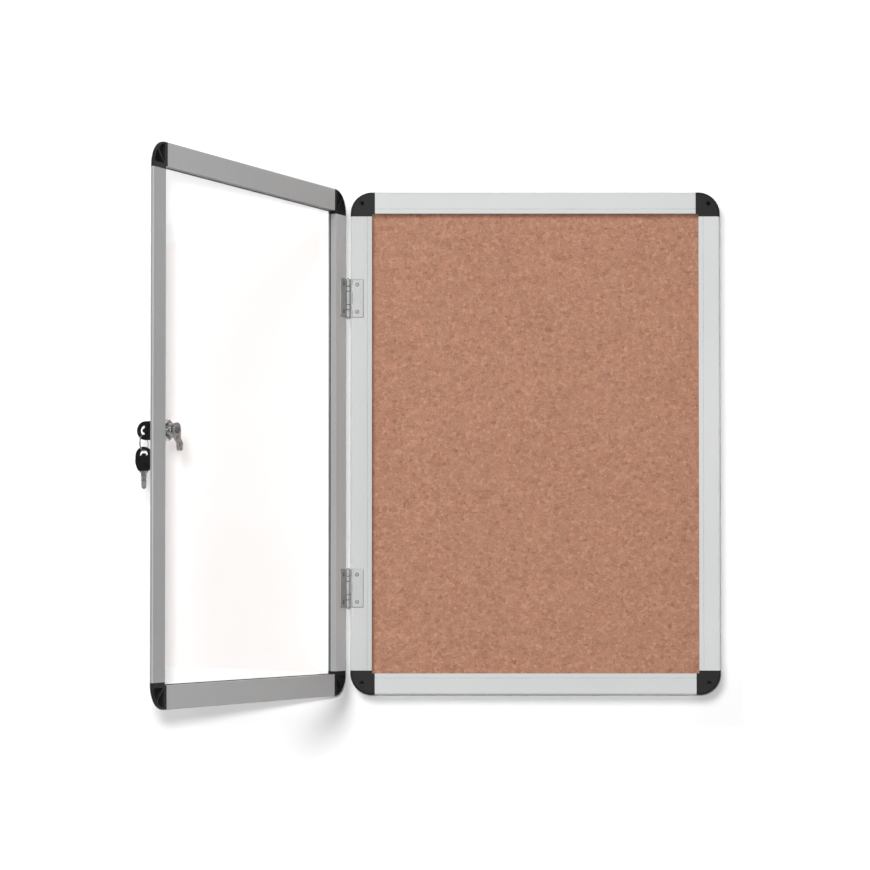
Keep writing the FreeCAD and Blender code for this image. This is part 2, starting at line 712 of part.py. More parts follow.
def ring_top():
    """Height of the ring wire's centre where it hangs in the key's slot."""
    reach = math.radians(SLOT_HALF_ANGLE)
    return -(SLOT_R * math.sin(reach) + SLOT_W / 2 - RING_WIRE_R - RING_PLAY)


def key_ring():
    """Wire ring, hanging edge on to the door's length, its wire and its round made of short flats."""
    centre = V(LOCK_X, ring_y(), ring_top() - RING_R)
    loops = []
    for turn in range(RING_SIDES):
        around = 2 * math.pi * turn / RING_SIDES
        outward = V(math.cos(around), 0, math.sin(around))
        loop = []
        for side in range(RING_WIRE_SIDES):
            angle = 2 * math.pi * side / RING_WIRE_SIDES
            away = RING_R + RING_WIRE_R * math.cos(angle)
            loop.append(centre + outward * away + V(0, RING_WIRE_R * math.sin(angle), 0))
        loops.append(loop)
    flats = []
    for first, second in zip(loops, loops[1:] + loops[:1]):
        for side in range(RING_WIRE_SIDES):
            after = (side + 1) % RING_WIRE_SIDES
            flats.append(Part.Face(wire_of([first[side], first[after], second[after], second[side]])))
    return Part.Solid(Part.Shell(flats))


def wall_frame_pieces():
    """Everything fixed to the wall."""
    screws = []
    for z in (-HINGE_CENTRE_Z, HINGE_CENTRE_Z):
        screws += hinge_screw_places(1, z)
    names = ("base_hinge_stile", "base_top_rail", "base_lock_stile", "base_bottom_rail")
    pieces = frame_set(base_extrusion, names, [screw_hole(place, 1) for place in screws])
    corners = ("base_corner_top_left", "base_corner_top_right", "base_corner_bottom_right",
               "base_corner_bottom_left")
    pieces += corner_set(base_corner(), corners)
    pieces.append(("back_sheet", panel_layer(REAR_FLANGE_T, BACK_SHEET_T)))
    pieces.append(("fibre_board", panel_layer(REAR_FLANGE_T + BACK_SHEET_T, BOARD_T)))
    pieces.append(("cork_sheet", panel_layer(CORK_BACK, CORK_T)))
    for name, z in (("upper", HINGE_CENTRE_Z), ("lower", -HINGE_CENTRE_Z)):
        pieces.append((name + "_hinge_wall_leaf", hinge_leaf(1, z)))
        pieces.append((name + "_hinge_pin", hinge_pin(z)))
    pieces.append(("wall_leaf_screws", Part.makeCompound([hinge_screw(place, 1) for place in screws])))
    return pieces


def door_pieces():
    """Everything on the door, as it lies when shut."""
    screws = []
    for z in (-HINGE_CENTRE_Z, HINGE_CENTRE_Z):
        screws += hinge_screw_places(-1, z)
    back = V(0, -DOOR_REAR_Y, 0)
    names = ("door_hinge_stile", "door_top_rail", "door_lock_stile", "door_bottom_rail")
    cuts = [moved(screw_hole(place, -1), back) for place in screws]
    pieces = frame_set(door_extrusion, names, cuts)
    corners = ("door_corner_top_left", "door_corner_top_right", "door_corner_bottom_right",
               "door_corner_bottom_left")
    pieces += corner_set(door_corner(), corners)
    pieces.append(("door_pane", pane()))
    pieces += gaskets()
    lock = [("lock_body", lock_body()), ("lock_nut", lock_nut()), ("lock_plug", lock_plug()),
            ("lock_cam", cam()), ("cam_screw", cam_screw()), ("key_blade", key_in_lock(blade())),
            ("key_bow", key_in_lock(bow())), ("key_ring", key_ring()),
            ("spare_key_blade", hanging_key(blade())), ("spare_key_bow", hanging_key(bow()))]
    pieces += [(name, moved(shape, V(0, 0, -LOCK_BELOW))) for name, shape in lock]
    placed = [(name, moved(shape, V(0, DOOR_REAR_Y, 0))) for name, shape in pieces]
    for name, z in (("upper", HINGE_CENTRE_Z), ("lower", -HINGE_CENTRE_Z)):
        placed.append((name + "_hinge_door_leaf", hinge_leaf(-1, z)))
    placed.append(("door_leaf_screws", Part.makeCompound([hinge_screw(place, -1) for place in screws])))
    return placed


def main():
    """Write every piece, with the door swung open about the hinge pins."""
    os.makedirs(OUT, exist_ok=True)
    for name, shape in wall_frame_pieces():
        write(name, shape)
    for name, shape in door_pieces():
        write(name, turned(shape, -DOOR_OPEN, V(PIN_X, PIN_Y, 0), V(0, 0, 1)))


main()
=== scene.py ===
# %% [markdown]
# # A lockable notice board
# The board hangs on a wall with its door swung open. The metal sections, the moulded corners, the hinges
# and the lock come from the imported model, at their real sizes. This script gives every surface its finish,
# replaces a few small pieces with rounder ones, and lights and frames the whole.

# %% Load the fixed frame
import json
import math

import bmesh
import bpy
import numpy as np
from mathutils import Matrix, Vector


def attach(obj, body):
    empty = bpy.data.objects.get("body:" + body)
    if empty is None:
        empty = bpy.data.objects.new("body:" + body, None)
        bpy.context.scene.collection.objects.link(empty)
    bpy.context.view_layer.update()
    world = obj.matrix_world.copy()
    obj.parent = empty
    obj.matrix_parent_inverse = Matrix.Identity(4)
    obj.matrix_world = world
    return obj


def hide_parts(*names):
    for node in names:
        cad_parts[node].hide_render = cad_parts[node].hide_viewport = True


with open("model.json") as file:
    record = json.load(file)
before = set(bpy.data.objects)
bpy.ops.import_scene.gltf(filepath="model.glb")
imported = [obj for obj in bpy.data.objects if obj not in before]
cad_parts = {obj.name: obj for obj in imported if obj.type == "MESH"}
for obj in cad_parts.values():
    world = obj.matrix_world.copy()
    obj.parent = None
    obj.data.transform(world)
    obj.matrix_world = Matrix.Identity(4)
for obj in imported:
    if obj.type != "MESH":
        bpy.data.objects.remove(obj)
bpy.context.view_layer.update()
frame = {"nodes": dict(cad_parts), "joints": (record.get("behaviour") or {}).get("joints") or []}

MM = 0.001
nodes = frame["nodes"]

# %% [markdown]
# Two directions are needed again and again: the way the open door runs from its hinge, and the way its
# outer face looks. They could be typed in as an angle, but read from the joints they follow the model.

# %% Read the door's directions from its joints
joints = {joint["name"]: joint for joint in frame["joints"]}
RIGHT = Vector((1, 0, 0))
TO_WALL = Vector((0, 1, 0))
UP = Vector((0, 0, 1))
door_out = Vector(joints["lock_turn"]["axis"]).normalized()
door_along = UP.cross(door_out)
hinge_axis = Vector(joints["door_swing"]["pos_m"])
lock_point = Vector(joints["lock_turn"]["pos_m"])
print("door faces", door_out.to_tuple(3), "and runs", door_along.to_tuple(3))

# %% [markdown]
# ## Finishes
# Every finish is a small tree of shader nodes. Linking nodes by hand takes many lines that look the same,
# so one helper adds a node with its settings and inputs, and a few more name the kinds used most. All
# patterns are read in Object coordinates, so that they stick to a piece when it moves.

# %% Short words for shader nodes
def even(value):
    """The same value for each axis, or for red, green and blue."""
    return (value, value, value)


PLAIN = even(1.0)
WHITE = (1.0, 1.0, 1.0, 1.0)
SHADE_BLACK = (0.0, 0.0, 0.0, 1.0)


def add_node(tree, kind, inputs=None, **settings):
    """Node with its settings. An input is linked if its value is another node's output, and set if not."""
    node = tree.nodes.new(kind)
    for setting, value in settings.items():
        setattr(node, setting, value)
    for socket, value in (inputs or {}).items():
        if isinstance(value, bpy.types.NodeSocket):
            tree.links.new(value, node.inputs[socket])
        else:
            node.inputs[socket].default_value = value
    return node


def calculate(tree, operation, first, second=0.0, clamp=False):
    """Result of one operation on two values, kept between 0 and 1 if clamped."""
    node = add_node(tree, "ShaderNodeMath", {0: first, 1: second}, operation=operation, use_clamp=clamp)
    return node.outputs[0]


def coordinates(tree, kind="Object"):
    """Place on the piece in metres, or the way its surface faces."""
    return add_node(tree, "ShaderNodeTexCoord").outputs[kind]


def scaled(tree, vector, factors):
    """Vector times a factor for each axis."""
    return add_node(tree, "ShaderNodeVectorMath", {0: vector, 1: factors}, operation="MULTIPLY").outputs[0]


def noise(tree, vector, scale, detail, distortion=0.0):
    """Smooth noise from 0 to 1, with features about 1 / scale across."""
    inputs = {"Vector": vector, "Scale": scale, "Detail": detail, "Distortion": distortion}
    return add_node(tree, "ShaderNodeTexNoise", inputs).outputs["Fac"]


def mix_colours(tree, kind, amount, first, second):
    """Second colour mixed into the first, or multiplied with it, by an amount from 0 to 1."""
    inputs = {"Factor": amount, "A": first, "B": second}
    return add_node(tree, "ShaderNodeMix", inputs, data_type="RGBA", blend_type=kind).outputs["Result"]


def ramp(tree, factor, stops):
    """Colour that goes from one (position, colour) stop to the next as the factor rises."""
    node = add_node(tree, "ShaderNodeValToRGB", {"Fac": factor})
    elements = node.color_ramp.elements
    while len(elements) < len(stops):
        elements.new(0.5)
    for element, (position, colour) in zip(elements, stops):
        element.position = position
        element.color = (*colour, 1.0)
    return node.outputs["Color"]

# %% [markdown]
# Nodes that several materials share go in a group with named inputs and outputs. Bump tilts a shader's
# normals by a height, so that fine relief needs no mesh.

# %% Groups, materials and bump
def new_group(name, inputs, outputs):
    """Empty node group with inputs as (name, kind, value) and outputs as (name, kind)."""
    group = bpy.data.node_groups.new(name, "ShaderNodeTree")
    for label, kind, value in inputs:
        socket = group.interface.new_socket(name=label, in_out="INPUT", socket_type=kind)
        socket.default_value = value
    for label, kind in outputs:
        group.interface.new_socket(name=label, in_out="OUTPUT", socket_type=kind)
    return group, group.nodes.new("NodeGroupInput"), group.nodes.new("NodeGroupOutput")


def new_material(name):
    """Material, its node tree and its Principled shader."""
    material = bpy.data.materials.new(name)
    material.use_nodes = True
    return material, material.node_tree, material.node_tree.nodes["Principled BSDF"]


def add_relief(tree, shader, height, distance, strength=1.0):
    """Bump on the shader's normal, as deep in metres as the distance where the height goes from 0 to 1."""
    inputs = {"Height": height, "Distance": distance, "Strength": strength}
    relief = add_node(tree, "ShaderNodeBump", inputs)
    tree.links.new(relief.outputs["Normal"], shader.inputs["Normal"])

# %% [markdown]
# ### Grain
# Anodised metal, rubber and moulded plastic all have a grain far finer than a pixel that still breaks up
# their highlights. One shader group makes it, and every material sets its own scale and depth. The group
# stretches noise along the axes, so it serves for drawn metal, which has long streaks, and for an even
# moulded texture. A broad cloud beside it lets the tone wander.

# %% Build the grain group once
def build_grain():
    """Height: fine noise on object coordinates times Stretch, times Depth. Tone: broad noise at Cloud."""
    inputs = [("Stretch", "NodeSocketVector", (900.0, 900.0, 900.0)), ("Depth", "NodeSocketFloat", 0.05),
              ("Cloud", "NodeSocketFloat", 9.0)]
    outputs = [("Height", "NodeSocketFloat"), ("Tone", "NodeSocketFloat")]
    group, start, end = new_group("surface_grain", inputs, outputs)
    place = coordinates(group)
    fine = noise(group, scaled(group, place, start.outputs["Stretch"]), 1.0, 3.0)
    broad = noise(group, place, start.outputs["Cloud"], 2.0)
    group.links.new(calculate(group, "MULTIPLY", fine, start.outputs["Depth"]), end.inputs["Height"])
    group.links.new(broad, end.inputs["Tone"])
    return group


grain = build_grain()
print("group", grain.name, "has", len(grain.nodes), "nodes")

# %% [markdown]
# A finish is a Principled shader whose colour and roughness wander a little with the cloud, and whose bump
# comes from the grain. The two colours are the darkest and lightest tone of the real finish. The cloud's
# noise seldom leaves the middle of its range, so the tones spread over that middle alone.

# %% Make a finish from the grain group
TONE_LOW, TONE_HIGH = 0.35, 0.65
ROUGH_LOW, ROUGH_HIGH = 0.3, 0.7


def spread(tree, factor, low, high):
    """Value between low and high as the factor goes over the middle of its range."""
    inputs = {"Value": factor, "From Min": ROUGH_LOW, "From Max": ROUGH_HIGH, "To Min": low, "To Max": high}
    return add_node(tree, "ShaderNodeMapRange", inputs).outputs["Result"]


def finish(name, dark, light, rough, metallic=0.0, stretch=even(900), depth=0.05, cloud=9.0, bump=0.0002,
           specular=0.5):
    """Principled material with grain bump, two tones and a roughness range."""
    material, tree, shader = new_material(name)
    shader.inputs["Metallic"].default_value = metallic
    shader.inputs["Specular IOR Level"].default_value = specular
    group = add_node(tree, "ShaderNodeGroup", {"Stretch": stretch, "Depth": depth, "Cloud": cloud},
                     node_tree=grain)
    tone = group.outputs["Tone"]
    tree.links.new(ramp(tree, tone, [(TONE_LOW, dark), (TONE_HIGH, light)]), shader.inputs["Base Color"])
    tree.links.new(spread(tree, tone, *rough), shader.inputs["Roughness"])
    add_relief(tree, shader, group.outputs["Height"], bump)
    return material, tree, shader

# %% [markdown]
# ### Anodised members
# The members are drawn aluminium with a natural matt anodised skin. It is pale grey and scatters most of
# the light, so the metallic value is small and the mirrored share weak. Its streaks run along each length:
# noise that changes fast across a member and slowly along it. The open door's level members run at a
# slant, mostly toward the wall, and theirs is slowest that way. Each side is made a little lighter or darker
# by painted light and shade: lit and shaded copies of one finish, to even out how the lamps fall on the
# board's sides and on the turned door.

# %% Anodised members
METAL_DARK = (0.542, 0.550, 0.554)
METAL_LIGHT = (0.582, 0.585, 0.585)
ACROSS = 2600.0
ALONG = 35.0
UPRIGHT = (ACROSS, ACROSS, ALONG)
LEVEL = (ALONG, ACROSS, ACROSS)
DOOR_LEVEL = (400.0, 90.0, ACROSS)


def anodised(name, stretch, tone):
    """Matt anodised aluminium with its drawing streaks along one way, lighter or darker by painted light and
    shade.
    """
    dark, light = (tuple(channel * tone for channel in colour) for colour in (METAL_DARK, METAL_LIGHT))
    return finish(name, dark, light, rough=(0.58, 0.68), metallic=0.06, stretch=stretch, depth=0.08,
                  cloud=7.0, bump=0.00015, specular=0.20)[0]


# Each side's factor is painted light or shade on one finish.
hinge_side_metal = anodised("anodised_hinge_side", UPRIGHT, 0.92)
lock_side_metal = anodised("anodised_lock_side", UPRIGHT, 1.07)
level_metal = anodised("anodised_level", LEVEL, 1.04)
door_level_metal = anodised("anodised_door_level", DOOR_LEVEL, 0.86)
door_hinge_metal = anodised("anodised_door_hinge_side", UPRIGHT, 1.08)
door_lock_metal = anodised("anodised_door_lock_side", UPRIGHT, 0.78)
print("anodised tones from", METAL_DARK, "to", METAL_LIGHT)

# %% [markdown]
# The door's stiles have walls that look along the door, and in the picture these are darker than the lamps
# would leave them, so shade is painted on them. A mask for each piece could paint it. The way a surface
# faces already tells the walls, so the colour is multiplied by a darker tone, painted shade, where the
# normal points along the door.

# %% Painted shade on the walls of the door's stiles
def paint_shade_by_facing(material, direction, tone, start=0.75, full=0.95):
    """Painted shade by where faces look: colour times tone as |normal . direction| goes from start to full.
    """
    tree = material.node_tree
    base = tree.nodes["Principled BSDF"].inputs["Base Color"]
    plain = base.links[0].from_socket
    facing = add_node(tree, "ShaderNodeVectorMath", {0: coordinates(tree, "Normal"), 1: direction},
                      operation="DOT_PRODUCT").outputs["Value"]
    inputs = {"Value": calculate(tree, "ABSOLUTE", facing), "From Min": start, "From Max": full}
    reach = add_node(tree, "ShaderNodeMapRange", inputs).outputs["Result"]
    tree.links.new(mix_colours(tree, "MULTIPLY", reach, plain, (*even(tone), 1.0)), base)
    return material


WALL_SHADE = 0.6
# Painted shade on the walls of both door stiles.
for stile_metal in (door_hinge_metal, door_lock_metal):
    paint_shade_by_facing(stile_metal, door_along, WALL_SHADE)
    print(stile_metal.name, "is", WALL_SHADE, "as bright on its walls")

# %% [markdown]
# ### Moulded black pieces
# The corners are moulded plastic with a fine, even spark-eroded texture, nearly black and hardly glossy.
# The strips behind the pane are soft rubber, a little paler. The key bows are smoother, and their black is
# the deepest. Even noise does for all three, each at its own scale.

# %% Moulded corners, rubber and key bows
corner_plastic = finish("moulded_black", (0.012, 0.012, 0.0118), (0.017, 0.017, 0.0166), rough=(0.46, 0.58),
                        stretch=even(1500), depth=0.25, cloud=14.0, bump=0.0004, specular=0.09)[0]
gasket_rubber = finish("gasket_rubber", (0.018, 0.018, 0.019), (0.028, 0.028, 0.029), rough=(0.60, 0.72),
                       stretch=even(1100), depth=0.2, cloud=20.0, bump=0.0003, specular=0.3)[0]
bow_plastic = finish("key_bow_black", even(0.004), even(0.007), rough=(0.24, 0.34), stretch=even(1800),
                     depth=0.12, cloud=60.0, specular=0.08)[0]
print("black finishes:", corner_plastic.name, gasket_rubber.name, bow_plastic.name)

# %% [markdown]
# ### Hinge sheet
# The hinges are pressed from zinc-plated sheet, which is duller than the aluminium and slightly cloudy
# where the plating is uneven. A leaf's edges are painted darker than its face: painted shade for the thin
# shadow line that makes a leaf show on its member. The same painted shade by direction as on the door's
# stiles gives it. It uses the way to the wall, which the wall's leaf faces squarely and the turned door's
# leaf at a slant, so each has its own limits.

# %% Plated sheet of the hinges
EDGE_SHADE = 0.22


def plated(name):
    """Zinc-plated sheet with a cloud every centimetre or two."""
    return finish(name, (0.29, 0.297, 0.30), (0.355, 0.357, 0.355), rough=(0.42, 0.52), metallic=0.15,
                  stretch=(700, 700, 2200), depth=0.15, cloud=60.0, specular=0.3)[0]


hinge_steel = plated("plated_pin")
# Painted shade on the edges of both leaves, standing in for each leaf's thin shadow line.
wall_leaf_steel = paint_shade_by_facing(plated("plated_wall_leaf"), TO_WALL, EDGE_SHADE, start=0.85, full=0.35)
door_leaf_steel = paint_shade_by_facing(plated("plated_door_leaf"), TO_WALL, EDGE_SHADE, start=0.42, full=0.15)
print("hinge sheet is", EDGE_SHADE, "as bright on its edges")

# %% [markdown]
# ### Lock, keys, screws and ring
# These are plated more brightly: the metallic value is high, and such a piece shows the light and dark
# around it. The lock and its cam are small, round and full of edges, so they get the widest range of
# tones. The screws are duller, and the ring is drawn wire with the sharpest reflections.

# %% Plated small parts
screw_steel = finish("plated_screw", even(0.055), (0.11, 0.11, 0.108), rough=(0.38, 0.48), metallic=0.4,
                     stretch=even(2500), depth=0.15, cloud=200.0)[0]
lock_metal = finish("plated_lock", (0.13, 0.132, 0.135), even(0.38), rough=(0.24, 0.34), metallic=0.75,
                    stretch=even(1600), depth=0.12, cloud=260.0)[0]
cam_steel = finish("cam_steel", (0.12, 0.12, 0.122), (0.36, 0.36, 0.362), rough=(0.28, 0.40), metallic=0.75,
                   stretch=(900, 900, 1800), depth=0.2, cloud=260.0, bump=0.0003)[0]
key_steel = finish("key_blade_nickel", (0.13, 0.13, 0.128), (0.25, 0.25, 0.246), rough=(0.24, 0.36),
                   metallic=0.8, stretch=even(1500), depth=0.15, cloud=150.0)[0]
ring_wire = finish("ring_wire", even(0.22), even(0.36), rough=(0.16, 0.26), metallic=0.95,
                   stretch=even(2000), depth=0.1, cloud=200.0, bump=0.0001)[0]
print("plated finishes:", screw_steel.name, lock_metal.name, cam_steel.name, key_steel.name, ring_wire.name)

# %% [markdown]
# ### Panel behind the cork
# The thin sheet on the board's back has the broad, soft cloudiness of zinc on steel. The pressed fibre
# between it and the cork is hardly ever seen, so a brown with fine streaks is enough.

# %% Back sheet and fibre
back_metal = finish("back_sheet_zinc", (0.40, 0.41, 0.42), (0.52, 0.53, 0.54), rough=(0.36, 0.52),
                    metallic=0.3, stretch=even(60), depth=0.1, cloud=40.0)[0]
fibre = finish("pressed_fibre", (0.22, 0.14, 0.085), (0.32, 0.21, 0.13), rough=(0.75, 0.88),
               stretch=(1200, 1200, 240), depth=0.4, cloud=30.0, bump=0.0006)[0]
print("panel finishes:", back_metal.name, fibre.name)

# %% [markdown]
# ### Cork
# Fine pinboard cork is pressed granules of several browns, two to five millimetres across, with flat shreds
# and specks of bark between them and small pits where granules meet. A photo of cork would repeat across
# the board. Cell noise gives each granule its own tone, and two sizes of cell mixed hide the pattern.
# Slow noise gives the yellower and pinker patches that show from a step away.

# %% Granules of cork
CELLS, FINE_CELLS, FINE_SHARE = 210.0, 520.0, 0.35
GRANULE_TONES = [(0.0, (0.300, 0.128, 0.076)), (0.25, (0.390, 0.185, 0.116)), (0.6, (0.450, 0.223, 0.144)),
                 (1.0, (0.545, 0.292, 0.196))]
PATCHES = 70.0
PATCH_TONES = [(0.38, (0.95, 0.97, 0.97)), (0.62, (1.02, 1.01, 0.99))]


def granules(tree, place, scale):
    """Each cell's own random value, as one of cork's tones."""
    cell = add_node(tree, "ShaderNodeTexVoronoi", {"Vector": place, "Scale": scale})
    return ramp(tree, cell.outputs["Color"], GRANULE_TONES)


def granule_colour(tree, place):
    """Large cells with a share of small ones mixed in, times the tone of a broad patch."""
    large, small = granules(tree, place, CELLS), granules(tree, place, FINE_CELLS)
    patches = ramp(tree, noise(tree, place, PATCHES, 3.0), PATCH_TONES)
    return mix_colours(tree, "MULTIPLY", 1.0, mix_colours(tree, "MIX", FINE_SHARE, large, small), patches)

# %% [markdown]
# Bark leaves dark specks, and thin shreds of cork lie flat, longer to the sides than upward, some darker
# and some paler than the rest. Both are noise with a colour ramp that stays plain over most of its range,
# so that only the extremes show. The shreds' noise is squeezed upward and bent a little.

# %% Specks, shreds and joints
SPECKS, SPECK_AMOUNT = 240.0, 0.55
SPECK_TONES = [(0.30, (0.40, 0.34, 0.32)), (0.38, PLAIN)]
SHREDS, SHRED_BEND, SHRED_AMOUNT = (70.0, 70.0, 190.0), 1.2, 0.8
SHRED_TONES = [(0.32, (0.80, 0.78, 0.76)), (0.42, PLAIN), (0.60, PLAIN), (0.70, (1.12, 1.18, 1.16))]
JOINT_TONES, JOINT_AMOUNT = [(0.0, (0.62, 0.56, 0.54)), (0.09, PLAIN)], 0.35
PIT_EDGE, PITS = 0.25, 640.0


def build_cork():
    """Colour: granules times specks, shreds and joints. Height: distance to a cell's edge, plus noise."""
    outputs = [("Color", "NodeSocketColor"), ("Height", "NodeSocketFloat")]
    group, _, end = new_group("cork_granules", [], outputs)
    place = coordinates(group)
    edge = add_node(group, "ShaderNodeTexVoronoi", {"Vector": place, "Scale": CELLS},
                    feature="DISTANCE_TO_EDGE").outputs["Distance"]
    specks = noise(group, place, SPECKS, 2.0)
    shreds = noise(group, scaled(group, place, SHREDS), 1.0, 2.0, SHRED_BEND)
    colour = granule_colour(group, place)
    for amount, value, tones in ((SPECK_AMOUNT, specks, SPECK_TONES), (SHRED_AMOUNT, shreds, SHRED_TONES),
                                 (JOINT_AMOUNT, edge, JOINT_TONES)):
        colour = mix_colours(group, "MULTIPLY", amount, colour, ramp(group, value, tones))
    rise = calculate(group, "MINIMUM", edge, PIT_EDGE)
    group.links.new(colour, end.inputs["Color"])
    group.links.new(calculate(group, "ADD", rise, noise(group, place, PITS, 2.0)), end.inputs["Height"])
    return group


def cork_finish():
    """Rough matt cork from the granule group."""
    material, tree, shader = new_material("granulated_cork")
    shader.inputs["Roughness"].default_value = 0.86
    group = add_node(tree, "ShaderNodeGroup", node_tree=build_cork())
    tree.links.new(group.outputs["Color"], shader.inputs["Base Color"])
    add_relief(tree, shader, group.outputs["Height"], distance=0.0005, strength=0.6)
    return material


cork = cork_finish()
print("cork's granules are about", round(1000 / CELLS, 1), "and", round(1000 / FINE_CELLS, 1), "mm across")

# %% [markdown]
# ### Clear pane
# Acrylic sheet is clear from the front and only shows by faint reflections. Light has to reach what is
# behind it once, straight from the lamps, so for shadow rays and for rays that left a matt surface the
# material becomes transparent. Faint, broad waviness keeps its reflections from looking computed.

# %% Acrylic sheet
def let_through(tree, shader, amount):
    """Surface that is the shader where the amount is zero and perfectly clear where it is one."""
    clear = add_node(tree, "ShaderNodeBsdfTransparent")
    inputs = {"Fac": amount, 1: shader.outputs["BSDF"], 2: clear.outputs["BSDF"]}
    mixed = add_node(tree, "ShaderNodeMixShader", inputs)
    tree.links.new(mixed.outputs["Shader"], tree.nodes["Material Output"].inputs["Surface"])


def pane_finish():
    """Clear plastic that lets shadow rays and diffuse rays straight through."""
    material, tree, shader = finish("clear_acrylic", (0.985, 0.99, 0.99), PLAIN, rough=(0.015, 0.03),
                                    stretch=even(6), depth=0.3, cloud=5.0)
    shader.inputs["Transmission Weight"].default_value = 1.0
    shader.inputs["IOR"].default_value = 1.49
    path = add_node(tree, "ShaderNodeLightPath")
    passing = calculate(tree, "MAXIMUM", path.outputs["Is Shadow Ray"], path.outputs["Is Diffuse Ray"])
    let_through(tree, shader, passing)
    return material


pane_clear = pane_finish()
print("pane:", pane_clear.name)

# %% [markdown]
# ### Dressing the model
# Each node of the model keeps its shape and gets the finish of its real piece. The first word in this list
# that a node's name holds gives its finish, which also tells the upright from the level members.

# %% Dress the model's own nodes
FINISHES = [("corner", corner_plastic), ("back_sheet", back_metal), ("fibre_board", fibre),
            ("cork_sheet", cork), ("door_pane", pane_clear), ("gasket", gasket_rubber),
            ("screw", screw_steel), ("hinge_pin", hinge_steel), ("leaf", hinge_steel),
            ("door_hinge_stile", door_hinge_metal), ("door_lock_stile", door_lock_metal),
            ("hinge_stile", hinge_side_metal), ("lock_stile", lock_side_metal),
            ("door_top_rail", door_level_metal), ("door_bottom_rail", door_level_metal),
            ("rail", level_metal), ("lock_cam", cam_steel), ("lock_", lock_metal), ("bow", bow_plastic),
            ("blade", key_steel), ("key_ring", ring_wire)]


def dress(piece, material):
    """The piece's one material."""
    piece.data.materials.clear()
    piece.data.materials.append(material)


for name, node in nodes.items():
    dress(node, next(material for word, material in FINISHES if word in name))
print("dressed", len(nodes), "nodes")

# %% [markdown]
# ## Small pieces with round forms
# The model's hinges, screws, ring and key bows have few faces. The real ones are pressed, wound and
# moulded, with soft edges that catch the light. A modifier could bevel them, but a surface from a formula
# bends exactly where it should. Each is a grid of points: loops that follow one another, with quads
# between neighbours.

# %% Closed surfaces from loops of points
def grid_faces(rows, columns, wrap_rows=False, wrap_columns=False):
    """Quads (r, c), (r, c + 1), (r + 1, c + 1), (r + 1, c), counted round when wrapped."""
    r = np.arange(rows if wrap_rows else rows - 1)[:, None]
    c = np.arange(columns if wrap_columns else columns - 1)[None, :]
    r1, c1 = (r + 1) % rows, (c + 1) % columns
    quads = np.stack([r * columns + c, r * columns + c1, r1 * columns + c1, r1 * columns + c], axis=-1)
    return quads.reshape(-1, 4)


def closed_tube(loops):
    """Loops of points joined one to the next and the last to the first, so that nothing is left open."""
    rows, columns = loops.shape[:2]
    return loops.reshape(-1, 3), grid_faces(rows, columns, True, True).tolist()


def pointed(loops, start, end):
    """Loops joined one to the next, with a fan from the first to one point and from the last to another."""
    rows, columns = loops.shape[:2]
    points = np.concatenate([loops.reshape(-1, 3), [start, end]])
    first = np.arange(columns)
    after = (first + 1) % columns
    last = (rows - 1) * columns
    faces = grid_faces(rows, columns, False, True).tolist()
    faces += np.stack([after, first, np.full(columns, rows * columns)], axis=1).tolist()
    faces += np.stack([last + first, last + after, np.full(columns, rows * columns + 1)], axis=1).tolist()
    return points, faces


def turned(angle, radius, height):
    """One loop about z: (r cos a, r sin a, z), where radius and height may change with the angle."""
    radius, height = np.broadcast_to(radius, angle.shape), np.broadcast_to(height, angle.shape)
    return np.stack([radius * np.cos(angle), radius * np.sin(angle), height], axis=1)


def upright_loop(outline, depth):
    """Outline of (x, z) points as a loop at one depth y."""
    return np.stack([outline[:, 0], np.full(len(outline), depth), outline[:, 1]], axis=1)

# %% [markdown]
# A surface is worked out in millimetres about its own axes. An origin and three directions then turn its
# numbers into places in the scene, in metres. A piece may hold several closed surfaces. It rides on the
# body that carries it, and hides the node of the model that it stands for.

# %% Surfaces become pieces
def placed(surface, origin, x_way, y_way, z_way):
    """Local millimetres to the scene: origin + x * x_way + y * y_way + z * z_way."""
    points, faces = surface
    ways = np.array([tuple(x_way), tuple(y_way), tuple(z_way)])
    return np.array(tuple(origin)) + np.asarray(points) * MM @ ways, faces


def gather(surfaces):
    """Several closed surfaces as one list of points and one list of faces."""
    points, faces, count = [], [], 0
    for own_points, own_faces in surfaces:
        points.append(own_points)
        faces += [[index + count for index in face] for face in own_faces]
        count += len(own_points)
    return np.concatenate(points), faces


def make_piece(name, surfaces, body, material, stands_for=None):
    """One smooth piece from closed surfaces, with its faces outward, its finish and its body."""
    points, faces = gather(surfaces)
    mesh = bpy.data.meshes.new(name)
    mesh.from_pydata(points.tolist(), [], faces)
    mesh.polygons.foreach_set("use_smooth", np.full(len(mesh.polygons), True))
    work = bmesh.new()
    work.from_mesh(mesh)
    bmesh.ops.recalc_face_normals(work, faces=work.faces)
    work.to_mesh(mesh)
    work.free()
    piece = bpy.data.objects.new(name, mesh)
    bpy.context.scene.collection.objects.link(piece)
    dress(piece, material)
    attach(piece, body)
    if stands_for:
        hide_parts(stands_for)
    print(name, "has", len(mesh.polygons), "faces and rides on", body)

# %% [markdown]
# ### Hinge leaves
# A butt hinge's leaf is pressed from sheet, with rolled knuckles at one side. Its edges are slightly
# rounded by the press, and each knuckle's ends too, which makes the joints between the knuckles show as
# dark lines. The plate is a rounded rectangle drawn inward over its edge, so its rows are copies of one
# outline.

# %% Pressed plate
ROUND_EDGE = np.linspace(0, math.pi / 2, 5)
CORNER_POINTS = 6
CORNER_R, LEAST_R = 1.5, 0.2
FLAT_MARGIN = 2.0


def rounded_outline(low, high, radius):
    """Rectangle from low to high with quarter circles for its corners, as (x, z) points."""
    left, right, bottom, top = low[0] + radius, high[0] - radius, low[1] + radius, high[1] - radius
    points = []
    for x, z, turn in ((right, top, 0.0), (left, top, 0.5), (left, bottom, 1.0), (right, bottom, 1.5)):
        angle = math.pi * (turn + np.linspace(0, 0.5, CORNER_POINTS))
        points.append(np.stack([x + radius * np.cos(angle), z + radius * np.sin(angle)], axis=1))
    return np.concatenate(points)


